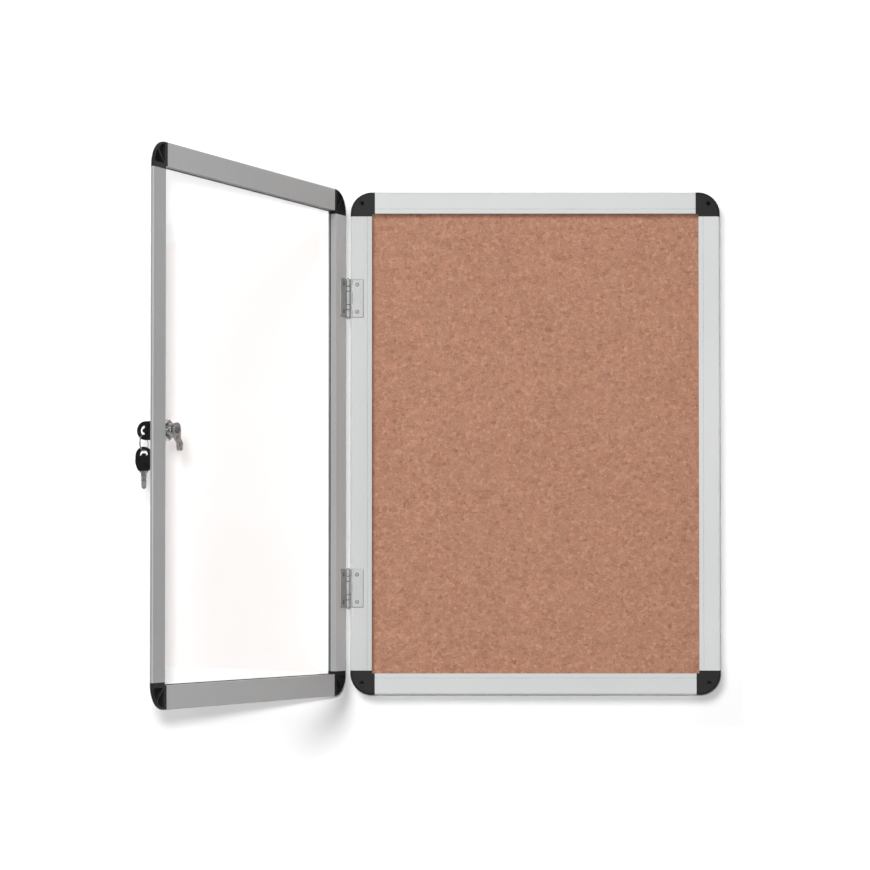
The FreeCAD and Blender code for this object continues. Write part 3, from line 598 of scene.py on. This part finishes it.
def pressed_plate(low, high, near, far, edge):
    """Plate between two depths. Its near face turns over the rim in a quarter ellipse.

    The ellipse is edge wide and half the plate deep: inset = edge * (1 - sin t), and the depth grows by
    half the plate as 1 - cos t. A row well inside each face keeps it flat.
    """
    rows = [(edge + FLAT_MARGIN, near)]
    rows += [(edge * (1 - math.sin(t)), near + (far - near) * 0.5 * (1 - math.cos(t))) for t in ROUND_EDGE]
    rows += [(0.0, far), (edge + FLAT_MARGIN, far)]
    loops = []
    for inset, depth in rows:
        outline = rounded_outline((low[0] + inset, low[1] + inset), (high[0] - inset, high[1] - inset),
                                  max(CORNER_R - inset, LEAST_R))
        loops.append(upright_loop(outline, depth))
    middle = ((low[0] + high[0]) / 2, (low[1] + high[1]) / 2)
    return pointed(np.stack(loops), (middle[0], near, middle[1]), (middle[0], far, middle[1]))

# %% [markdown]
# A knuckle is a turned shape with round ends. Five of them share the pin: one leaf owns the first, third
# and fifth, and the other leaf the two between. A short strap joins each knuckle to its plate.

# %% Knuckles and a whole leaf
HINGE_H, LEAF_REACH, LEAF_T, LEAF_OPEN = 52.0, 21.0, 1.2, 0.1
KNUCKLE_R, KNUCKLE_ROUND, KNUCKLE_GAP = 3.5, 0.9, 0.15
KNUCKLE_SPANS = (10.2, 6.6, 18.4, 6.6, 10.2)
STRAP_END, STRAP_GAP, STRAP_ROUND = 6.0, 0.5, 0.3
PLATE_START, PLATE_ROUND = 4.2, 0.8
ROLL_SIDES = 40


def turned_roll(radius, low, high, edge):
    """Cylinder along z with round ends: r = radius - edge * (1 - cos t), z = low + edge * (1 - sin t)."""
    angle = np.linspace(0, 2 * math.pi, ROLL_SIDES, endpoint=False)
    profile = [(radius - edge * (1 - math.cos(t)), low + edge * (1 - math.sin(t)))
               for t in ROUND_EDGE[::-1]]
    profile += [(r, low + high - z) for r, z in profile[::-1]]
    return pointed(np.stack([turned(angle, r, z) for r, z in profile]), (0, 0, low), (0, 0, high))


def hinge_leaf(first):
    """Leaf in its own place: x away from the pin, y from its open face into its member, z up."""
    near, far = LEAF_OPEN, LEAF_OPEN + LEAF_T
    low = -HINGE_H / 2
    surfaces = []
    for index, length in enumerate(KNUCKLE_SPANS):
        high = low + length
        if index % 2 == first:
            knuckle = turned_roll(KNUCKLE_R, low + KNUCKLE_GAP, high - KNUCKLE_GAP, KNUCKLE_ROUND)
            strap_low, strap_high = (0.0, low + STRAP_GAP), (STRAP_END, high - STRAP_GAP)
            surfaces += [knuckle, pressed_plate(strap_low, strap_high, near, far, STRAP_ROUND)]
        low = high
    plate_low, plate_high = (PLATE_START, -HINGE_H / 2), (LEAF_REACH, HINGE_H / 2)
    return surfaces + [pressed_plate(plate_low, plate_high, near, far, PLATE_ROUND)]

# %% [markdown]
# Two hinges at equal distances above and below the middle carry the door. The same leaf serves four times:
# the wall's leaf runs to the right from the pin and sinks toward the wall, and the door's leaf runs along
# the door and sinks into it.

# %% Four leaves in their places
HINGE_HEIGHTS = {"lower": -196.0, "upper": 196.0}
LEAF_WAYS = {"wall": (RIGHT, TO_WALL, "wall_frame", 0, wall_leaf_steel),
             "door": (door_along, door_out, "door", 1, door_leaf_steel)}

for level, height in HINGE_HEIGHTS.items():
    centre = hinge_axis + UP * height * MM
    for side, (leaf_along, into, body, first, steel) in LEAF_WAYS.items():
        surfaces = [placed(surface, centre, leaf_along, into, UP) for surface in hinge_leaf(first)]
        make_piece(f"{level}_pressed_{side}_leaf", surfaces, body, steel,
                   f"{level}_hinge_{side}_leaf")

# %% [markdown]
# ### Screws
# Countersunk cross-recess screws hold the hinge leaves, and a pan-head one holds the cam. Seen from above,
# the recess is a cross: in any direction its wall stands where a ray leaves the longer of two crossed
# bars. Letting the columns of the grid follow that wall keeps the cross sharp, which a height map on an
# even grid would not.

# %% Cross-recess screw
FLOOR_SHARE, MOUTH_SHARE, MOUTH_DEPTH, WALL_DROP = 0.55, 0.94, 0.2, 0.02
HEAD_SHARES = (0.03, 0.3, 0.65)
TIP, TINY = 0.4, 1e-9
CORNER_STEPS, BETWEEN_STEPS = 5, 9


def cross_angles(bar_length, bar_width):
    """Directions round the screw, closer together at each corner of the cross."""
    corner = math.atan2(bar_width, bar_length)
    between = np.linspace(corner, math.pi / 2 - corner, BETWEEN_STEPS)[1:-1]
    quarter = np.concatenate([np.linspace(-corner, corner, CORNER_STEPS), between])
    return np.concatenate([quarter + turn * math.pi / 2 for turn in range(4)])


def screw(radius, rise, edge, seat, cone, shank, length, bar_length, bar_width, recess):
    """One screw's surface, its head's rim at height zero and its shank down.

    The cross wall lies at max(min(L / |cos|, w / |sin|), min(L / |sin|, w / |cos|)). From there the head
    rises as rise * (1 - (r / R) squared), turns over a round edge and narrows to the shank below.
    """
    angle = cross_angles(bar_length, bar_width)
    c, s = np.abs(np.cos(angle)) + TINY, np.abs(np.sin(angle)) + TINY
    wall = np.maximum(np.minimum(bar_length / c, bar_width / s), np.minimum(bar_length / s, bar_width / c))
    flat = radius - edge

    def top(r):
        return rise * (1 - (r / flat) ** 2)

    rows = [(wall * FLOOR_SHARE, -recess), (wall * MOUTH_SHARE, -recess * MOUTH_DEPTH),
            (wall, top(wall) - WALL_DROP)]
    rows += [(r, top(r)) for r in (wall + (flat - wall) * share for share in HEAD_SHARES)]
    rows += [(flat + edge * math.sin(t), edge * (math.cos(t) - 1)) for t in ROUND_EDGE]
    rows += [(radius, -seat), (shank, -seat - cone), (shank, -length)]
    return pointed(np.stack([turned(angle, r, z) for r, z in rows]), (0, 0, -recess), (0, 0, -length - TIP))


LEAF_SCREW_R, CAM_SCREW_R = 2.9, 4.2
leaf_screw = screw(radius=LEAF_SCREW_R, rise=0.06, edge=0.10, seat=0.15, cone=0.85, shank=1.4, length=6.5,
                   bar_length=1.55, bar_width=0.36, recess=0.9)
cam_screw = screw(radius=CAM_SCREW_R, rise=0.35, edge=0.55, seat=1.45, cone=0.0, shank=1.5, length=4.1,
                  bar_length=2.1, bar_width=0.5, recess=1.0)
print("screw heads are", 2 * LEAF_SCREW_R, "and", 2 * CAM_SCREW_R, "mm wide")

# %% [markdown]
# Each leaf has two screws, as far above its middle as below. The four on one body are one piece, as in the
# model. Nobody lines up the slots of screws, so the second of each pair is turned further.

# %% Screws in the hinge leaves
SCREW_STEPS = (-18.4, 18.4)
SCREW_OUT = 12.3
FIRST_TURN, MORE_TURN = 0.35, 0.5


def leaf_screws(name, along, outward, body):
    """Four screws in the two hinge leaves that run along a direction and look outward."""
    surfaces = []
    for height in HINGE_HEIGHTS.values():
        for index, step in enumerate(SCREW_STEPS):
            place = hinge_axis + (along * SCREW_OUT + UP * (height + step) - outward * LEAF_OPEN) * MM
            turn = FIRST_TURN + MORE_TURN * index
            side = along * math.cos(turn) + UP * math.sin(turn)
            surfaces.append(placed(leaf_screw, place, side, outward.cross(side), outward))
    make_piece("cross_screws_" + name, surfaces, body, screw_steel, name + "_leaf_screws")


leaf_screws("wall", RIGHT, -TO_WALL, "wall_frame")
leaf_screws("door", door_along, -door_out, "door")

# %% [markdown]
# ### Cam screw, thread and stop washer
# The lock's parts are easiest to place from its axis. Distances on it are measured outward from the door's
# rear face, so they are negative behind it. The cam's screw is the last piece on the axis.

# %% Cam screw on the lock's axis
CAM_SCREW_OUT = -8.35


def lock_place(out, up=0.0):
    """Point at a distance out of the door's rear face and above the lock's axis, in millimetres."""
    return lock_point + (door_out * out + UP * up) * MM


def on_lock_axis(surface, out):
    """Surface whose own z axis points back along the lock's axis, set at a place on it."""
    return placed(surface, lock_place(out), UP, -door_out.cross(UP), -door_out)


make_piece("cam_screw_cross", [on_lock_axis(cam_screw, CAM_SCREW_OUT)], "lock_plug", screw_steel,
           "cam_screw")

# %% [markdown]
# The barrel is threaded for its nut. The model's barrel is plain and stays as it is, so the thread is one
# ridge on top of it that runs round in a helix: its crest is a fixed height over the barrel, and its two
# flanks sink into it.

# %% Barrel thread
STEPS_PER_TURN, FADE_TURN = 36, 1.5
CREST_SHARE, ROOT_DEPTH = 0.2, 0.3


def helix_ridge(radius, height, half_width, pitch, low, high):
    """Ridge along a helix: z = low + pitch * turn / 2 pi, and r = radius + height at the crest.

    Over the first and last stretch of the turn the crest fades into the barrel.
    """
    turns = (high - low) / pitch
    turn = np.linspace(0, 2 * math.pi * turns, int(turns * STEPS_PER_TURN))
    fade = np.clip(np.minimum(turn, turn[-1] - turn) / FADE_TURN, 0, 1)
    z = low + turn * pitch / (2 * math.pi)
    crest, root = radius + height * fade, np.full_like(turn, radius - ROOT_DEPTH)
    section = [(root, -half_width), (crest, -half_width * CREST_SHARE), (crest, half_width * CREST_SHARE),
               (root, half_width)]
    loops = np.stack([turned(turn, r, z + shift) for r, shift in section], axis=1)
    return pointed(loops, loops[0].mean(axis=0), loops[-1].mean(axis=0))


thread = helix_ridge(radius=8.0, height=0.32, half_width=0.5, pitch=1.25, low=-3.5, high=3.2)
make_piece("barrel_thread", [on_lock_axis(thread, 0.0)], "door", lock_metal)

# %% [markdown]
# Between barrel and cam lies a washer with a lug that stops the turn. Its rim is a circle with one smooth
# bump, and the same rim, drawn in a little, gives the bevelled edges.

# %% Stop washer
WASHER_OUT, WASHER_SIDES = -3.85, 72
LUG_END, LUG_SLOPE = 0.4, 4.0
BEVEL, BEVEL_SHARE, HOLE_SHARE = 0.12, 0.96, 0.3


def stop_washer(radius, lug, thick):
    """Round washer with one lug: r = radius + lug * b * b * (3 - 2 b).

    b is one on the lug and falls to zero beside it.
    """
    angle = np.linspace(0, 2 * math.pi, WASHER_SIDES, endpoint=False)
    from_lug = np.abs(np.angle(np.exp(1j * (angle - math.pi))))
    bump = np.clip((LUG_END - from_lug) * LUG_SLOPE, 0, 1)
    rim = radius + lug * bump * bump * (3 - 2 * bump)
    section = [(HOLE_SHARE, 0.0), (BEVEL_SHARE, 0.0), (1.0, BEVEL), (1.0, thick - BEVEL),
               (BEVEL_SHARE, thick), (HOLE_SHARE, thick)]
    loops = np.stack([turned(angle, rim * share, z) for share, z in section])
    return pointed(loops, (0, 0, 0), (0, 0, thick))


washer = stop_washer(radius=7.6, lug=1.2, thick=1.2)
make_piece("stop_washer", [on_lock_axis(washer, WASHER_OUT)], "lock_plug", cam_steel)

# %% [markdown]
# ### Key bows
# The bow is moulded over the blade with round edges, and a curved slot takes the ring. It is a band
# between two outlines, the slot and the rim, so each column of the grid runs from a point of the slot to
# its partner on the rim, over the face, round the edge and back below.

# %% Outlines of slot and rim
BOW_L, BOW_HALF, BOW_NECK, BOW_SHOULDER, BLADE_HALF = 29.5, 11.5, 7.5, 9.0, 6.0
SLOT_X, SLOT_R, SLOT_HALF, SLOT_REACH = 19.1, 4.4, 2.0, math.radians(75)
CAP_SPLIT, ROUND_END_REACH = math.radians(147), math.radians(80)
STRETCHES = (8, 6, 8, 6)


def arc(centre, radius, start, end, count):
    """Points on a circle between two angles, without the last."""
    turn = np.linspace(start, end, count, endpoint=False)
    return np.stack([centre[0] + radius * np.cos(turn), centre[1] + radius * np.sin(turn)], axis=1)


def line(points, count):
    """Evenly spaced points along a run of straight lines, without the last."""
    points = np.array(points, float)
    steps = np.concatenate([[0], np.cumsum(np.linalg.norm(np.diff(points, axis=0), axis=1))])
    where = np.linspace(0, steps[-1], count, endpoint=False)
    return np.stack([np.interp(where, steps, points[:, axis]) for axis in (0, 1)], axis=1)


def half_outlines():
    """Slot and rim of the upper half with partners on the same row, from the round end to the neck.

    The slot has its outer arc, its cap in two parts and its inner arc. The rim has the round end, a
    straight side, the shoulder with the neck, and the blade's width. Partner stretches have equally many
    points.
    """
    first, second, third, fourth = STRETCHES
    middle, round_end, shoulder = (SLOT_X, 0.0), (BOW_L - BOW_HALF, 0.0), (BOW_SHOULDER, BOW_HALF)
    cap = (SLOT_X + SLOT_R * math.cos(SLOT_REACH), SLOT_R * math.sin(SLOT_REACH))
    side_start = (round_end[0] + BOW_HALF * math.cos(ROUND_END_REACH),
                  BOW_HALF * math.sin(ROUND_END_REACH))
    slot = [arc(middle, SLOT_R + SLOT_HALF, 0, SLOT_REACH, first),
            arc(cap, SLOT_HALF, SLOT_REACH, CAP_SPLIT, second),
            arc(cap, SLOT_HALF, CAP_SPLIT, SLOT_REACH + math.pi, third),
            arc(middle, SLOT_R - SLOT_HALF, SLOT_REACH, 0, fourth), [(SLOT_X + SLOT_R - SLOT_HALF, 0.0)]]
    rim = [arc(round_end, BOW_HALF, 0, ROUND_END_REACH, first), line([side_start, shoulder], second),
           line([shoulder, (0, BOW_NECK), (0, BLADE_HALF)], third),
           line([(0, BLADE_HALF), (0, 0)], fourth), [(0.0, 0.0)]]
    return np.concatenate(slot), np.concatenate(rim)

# %% [markdown]
# The other half is the same, flipped. Two rounds of averaging with the neighbours soften the rim's
# corners, as moulding does. Then rows step from the slot to the rim: round the slot's edge, over the flat
# face and round the rim's edge. The rows below are those above in reverse.

# %% Bow around its slot
BOW_T = 4.2
SLOT_ROUND, RIM_ROUND, FLAT_STEP = 0.5, 1.1, 0.4
SOFTENING = 2


def bow_surface():
    """Band from slot to rim with rounded edges, in the key's own plane: x to the round end, z across.

    A row just inside each round edge keeps the face between them flat.
    """
    flip = np.array([1.0, -1.0])
    slot, rim = (np.concatenate([upper, upper[-2:0:-1] * flip]) for upper in half_outlines())
    for _ in range(SOFTENING):
        rim = (np.roll(rim, 1, axis=0) + 2 * rim + np.roll(rim, -1, axis=0)) / 4
    way = (rim - slot) / np.linalg.norm(rim - slot, axis=1)[:, None]
    half = BOW_T / 2
    rows = [(slot + way * SLOT_ROUND * (1 - math.cos(t)), half - SLOT_ROUND * (1 - math.sin(t)))
            for t in ROUND_EDGE]
    rows += [(slot + way * (SLOT_ROUND + FLAT_STEP), half), (rim - way * (RIM_ROUND + FLAT_STEP), half)]
    rows += [(rim - way * RIM_ROUND * (1 - math.cos(t)), half - RIM_ROUND * (1 - math.sin(t)))
             for t in ROUND_EDGE[::-1]]
    rows += [(points, -height) for points, height in rows[::-1]]
    return closed_tube(np.stack([upright_loop(points, height) for points, height in rows]))


KEY_OUT, RING_OUT, SPARE_UP = 19.5, 39.74, -48.55
bow = bow_surface()
bow_in_lock = placed(bow, lock_place(KEY_OUT), door_out, door_along, UP)
bow_hanging = placed(bow, lock_place(RING_OUT, SPARE_UP), UP, door_along, door_out)
make_piece("moulded_bow", [bow_in_lock], "key", bow_plastic, "key_bow")
make_piece("moulded_bow_spare", [bow_hanging], "spare_key", bow_plastic, "spare_key_bow")

# %% [markdown]
# ### Split ring
# A split ring is nearly two laps of slightly flattened wire lying side by side. The wire crosses from one
# lap to the other in the short gap that its own two ends leave, so the laps never meet.

# %% Two laps of wire
RING_UP, LAP_SPACE = -14.65, 1.03
WIRE_STEPS, WIRE_SIDES = 210, 14


def split_ring(radius, wire, flat, crossing):
    """Wire along an angle from 0 to 4 pi less the crossing. Its section is an ellipse, wire by flat.

    It steps sideways from one lap to the other as s * s * (3 - 2 s), while s goes from 0 to 1.
    """
    turn = np.linspace(0, 4 * math.pi - crossing, WIRE_STEPS)
    step = np.clip((turn - 2 * math.pi + crossing) / crossing, 0, 1)
    side = flat * LAP_SPACE * (2 * step * step * (3 - 2 * step) - 1)
    section = np.linspace(0, 2 * math.pi, WIRE_SIDES, endpoint=False)
    reach = radius + wire * np.cos(section)[None, :]
    angle = (turn + crossing / 2)[:, None]
    loops = np.stack([reach * np.cos(angle), reach * np.sin(angle),
                      side[:, None] + flat * np.sin(section)[None, :]], axis=-1)
    return pointed(loops, loops[0].mean(axis=0), loops[-1].mean(axis=0))


ring = split_ring(radius=9.5, wire=0.68, flat=0.45, crossing=1.2)
ring_laps = placed(ring, lock_place(RING_OUT, RING_UP), -door_along, UP, door_out)
make_piece("split_ring", [ring_laps], "key_ring", ring_wire, "key_ring")

# %% [markdown]
# ## Light
# The picture is lit from the front, with shadows that fall to the lower right. A small lamp beside the
# camera makes the door's members cast their shadows close beside themselves on the wall, and leaves the
# turned door darker than the board. A large soft lamp to the upper left shades the frame's depth, a weak
# one to the right reaches the door's inner side, and one behind serves views of the back. Together the
# first two light a surface that faces the camera at full level.

# %% Place the lamps
def area_lamp(name, place, target, size, watts):
    """Square soft lamp at a place, facing a target."""
    lamp = bpy.data.lights.new(name, "AREA")
    lamp.shape = "SQUARE"
    lamp.size = size
    lamp.energy = watts
    holder = bpy.data.objects.new(name, lamp)
    reach = Vector(target) - Vector(place)
    holder.location = place
    holder.rotation_euler = reach.to_track_quat("-Z", "Y").to_euler()
    bpy.context.scene.collection.objects.link(holder)
    print(name, "stands", round(reach.length, 2), "m away")


area_lamp("front_lamp", place=(-0.20, -3.70, -0.03), target=(-0.12, 0, 0), size=0.12, watts=60)
area_lamp("side_lamp", place=(-1.49, -5.20, 2.10), target=(0, 0, 0), size=2.00, watts=215)
area_lamp("fill_lamp", place=(3.20, -1.05, -0.10), target=(-0.3, -0.2, 0), size=1.00, watts=10)
area_lamp("back_lamp", place=(0.60, 3.20, 1.00), target=(0, 0, 0), size=1.50, watts=55)

# %% [markdown]
# The surroundings are white where they are looked at: straight on, in a reflection or through the pane.
# If they lit the object as well, its shadows would drown, so all other rays find almost no light there.
# The Light Path node tells the rays apart.

# %% White surroundings
SURROUND_LIGHT = 0.02


def looked_at(tree):
    """One for camera, glossy and transmitted rays, and zero for the rest."""
    path = add_node(tree, "ShaderNodeLightPath").outputs
    seen = calculate(tree, "MAXIMUM", path["Is Camera Ray"], path["Is Glossy Ray"])
    return calculate(tree, "MAXIMUM", seen, path["Is Transmission Ray"])


world = bpy.data.worlds.new("studio_white")
bpy.context.scene.world = world
world.use_nodes = True
surround = world.node_tree.nodes["Background"]
surround.inputs["Color"].default_value = WHITE
strength = add_node(world.node_tree, "ShaderNodeMapRange",
                    {"Value": looked_at(world.node_tree), "To Min": SURROUND_LIGHT, "To Max": 1.0})
world.node_tree.links.new(strength.outputs["Result"], surround.inputs["Strength"])
print("surroundings give", SURROUND_LIGHT, "of their white as light")

# %% [markdown]
# ## Wall
# The wall behind the board is white and holds the board's soft shadow. Lit by the lamps alone it would
# turn grey away from the board, so a part of its white is its own light, weak where the shadows fall and
# full further out. Close behind the board the wall is painted black and has no glow: painted shade for the
# dark behind the board, so that the fixing holes stay dark. It is seen from the front alone and lets the
# back lamp through, so that the board's back can be looked at too.

# %% Wall's white
SHADE_PATCH_HALF = (0.240, 0.331)
SHADOW_CENTRE, SHADOW_HALF = (-0.12, -0.01), (0.40, 0.37)
GLOW_SLOPE = 4.0
GLOW_NEAR, GLOW_FAR = 0.035, 1.0
PANE_LOSS = 0.13


def outside(tree, centre, half):
    """Distance outside a rectangle in x and z: max(|x - cx| - hx, |z - cz| - hz), negative within."""
    split = add_node(tree, "ShaderNodeSeparateXYZ", {0: coordinates(tree)}).outputs
    past = []
    for axis, middle, reach in zip("XZ", centre, half):
        away = calculate(tree, "ABSOLUTE", calculate(tree, "SUBTRACT", split[axis], middle))
        past.append(calculate(tree, "SUBTRACT", away, reach))
    return calculate(tree, "MAXIMUM", *past)


def stage_white(name):
    """Matt white with its own glow for rays that look at it.

    The glow is near + (far - near) * clamp(distance outside the shadows' rectangle * slope). What the
    pane takes from the white behind it is given back to transmitted rays. Close behind the board the colour
    is black, painted shade, and nothing glows there.
    """
    material, tree, shader = finish(name, even(0.94), even(0.96), rough=(0.8, 0.9), stretch=even(90),
                                    cloud=2.0)
    path = add_node(tree, "ShaderNodeLightPath").outputs
    # Outside this rectangle the wall is white; inside it the wall is painted shade, black and without glow.
    clear = calculate(tree, "GREATER_THAN", outside(tree, (0.0, 0.0), SHADE_PATCH_HALF), 0.0)
    grow = calculate(tree, "MULTIPLY", outside(tree, SHADOW_CENTRE, SHADOW_HALF), GLOW_SLOPE, clamp=True)
    glow = calculate(tree, "ADD", calculate(tree, "MULTIPLY", grow, GLOW_FAR - GLOW_NEAR), GLOW_NEAR)
    seen = calculate(tree, "MULTIPLY", looked_at(tree), calculate(tree, "MULTIPLY", glow, clear))
    given_back = calculate(tree, "MULTIPLY", path["Is Transmission Ray"], PANE_LOSS)
    behind_pane = calculate(tree, "MULTIPLY", given_back, clear)
    tree.links.new(calculate(tree, "ADD", seen, behind_pane), shader.inputs["Emission Strength"])
    shader.inputs["Emission Color"].default_value = WHITE
    base = shader.inputs["Base Color"]
    # Painted shade: the wall's colour is black behind the board.
    tree.links.new(mix_colours(tree, "MIX", clear, SHADE_BLACK, base.links[0].from_socket), base)
    behind = add_node(tree, "ShaderNodeNewGeometry").outputs["Backfacing"]
    let_through(tree, shader, calculate(tree, "MAXIMUM", behind, path["Is Shadow Ray"]))
    return material


white = stage_white("stage_white")
print("wall glows from", GLOW_NEAR, "to", GLOW_FAR)

# %% [markdown]
# The wall itself is one large square, wider than the picture. It stands a little way behind the board, so
# that the shadow shows beside the members. It isn't part of the object.

# %% Wall behind the board
WALL_GAP, REACH = 8.0 * MM, 6.0
wall_mesh = bpy.data.meshes.new("wall")
wall_mesh.from_pydata([(-REACH, WALL_GAP, -REACH), (REACH, WALL_GAP, -REACH), (REACH, WALL_GAP, REACH),
                       (-REACH, WALL_GAP, REACH)], [], [(0, 1, 2, 3)])
wall = bpy.data.objects.new("wall", wall_mesh)
bpy.context.scene.collection.objects.link(wall)
dress(wall, white)
print("wall is", 2 * REACH, "m wide and stands", WALL_GAP, "m behind the board")

# %% [markdown]
# ## Camera
# The picture was taken with a long lens from a little to the left of the board and below its middle. The
# camera tilts up slightly, and the rest of the framing is a small lens shift, because more tilt would make
# the uprights lean.

# %% Camera as in the picture
TILT_UP = 1.31
camera_data = bpy.data.cameras.new("camera")
camera_data.lens = 113.8
camera_data.sensor_width = 36.0
camera_data.shift_y = 0.0952
camera_data.clip_end = 50.0
camera = bpy.data.objects.new("camera", camera_data)
camera.location = (-0.1357, -3.7325, -0.1859)
camera.rotation_euler = (math.radians(90 + TILT_UP), 0, 0)
bpy.context.scene.collection.objects.link(camera)
bpy.context.scene.camera = camera
bpy.context.scene.view_settings.view_transform = "Standard"
print("lens", camera_data.lens, "mm")
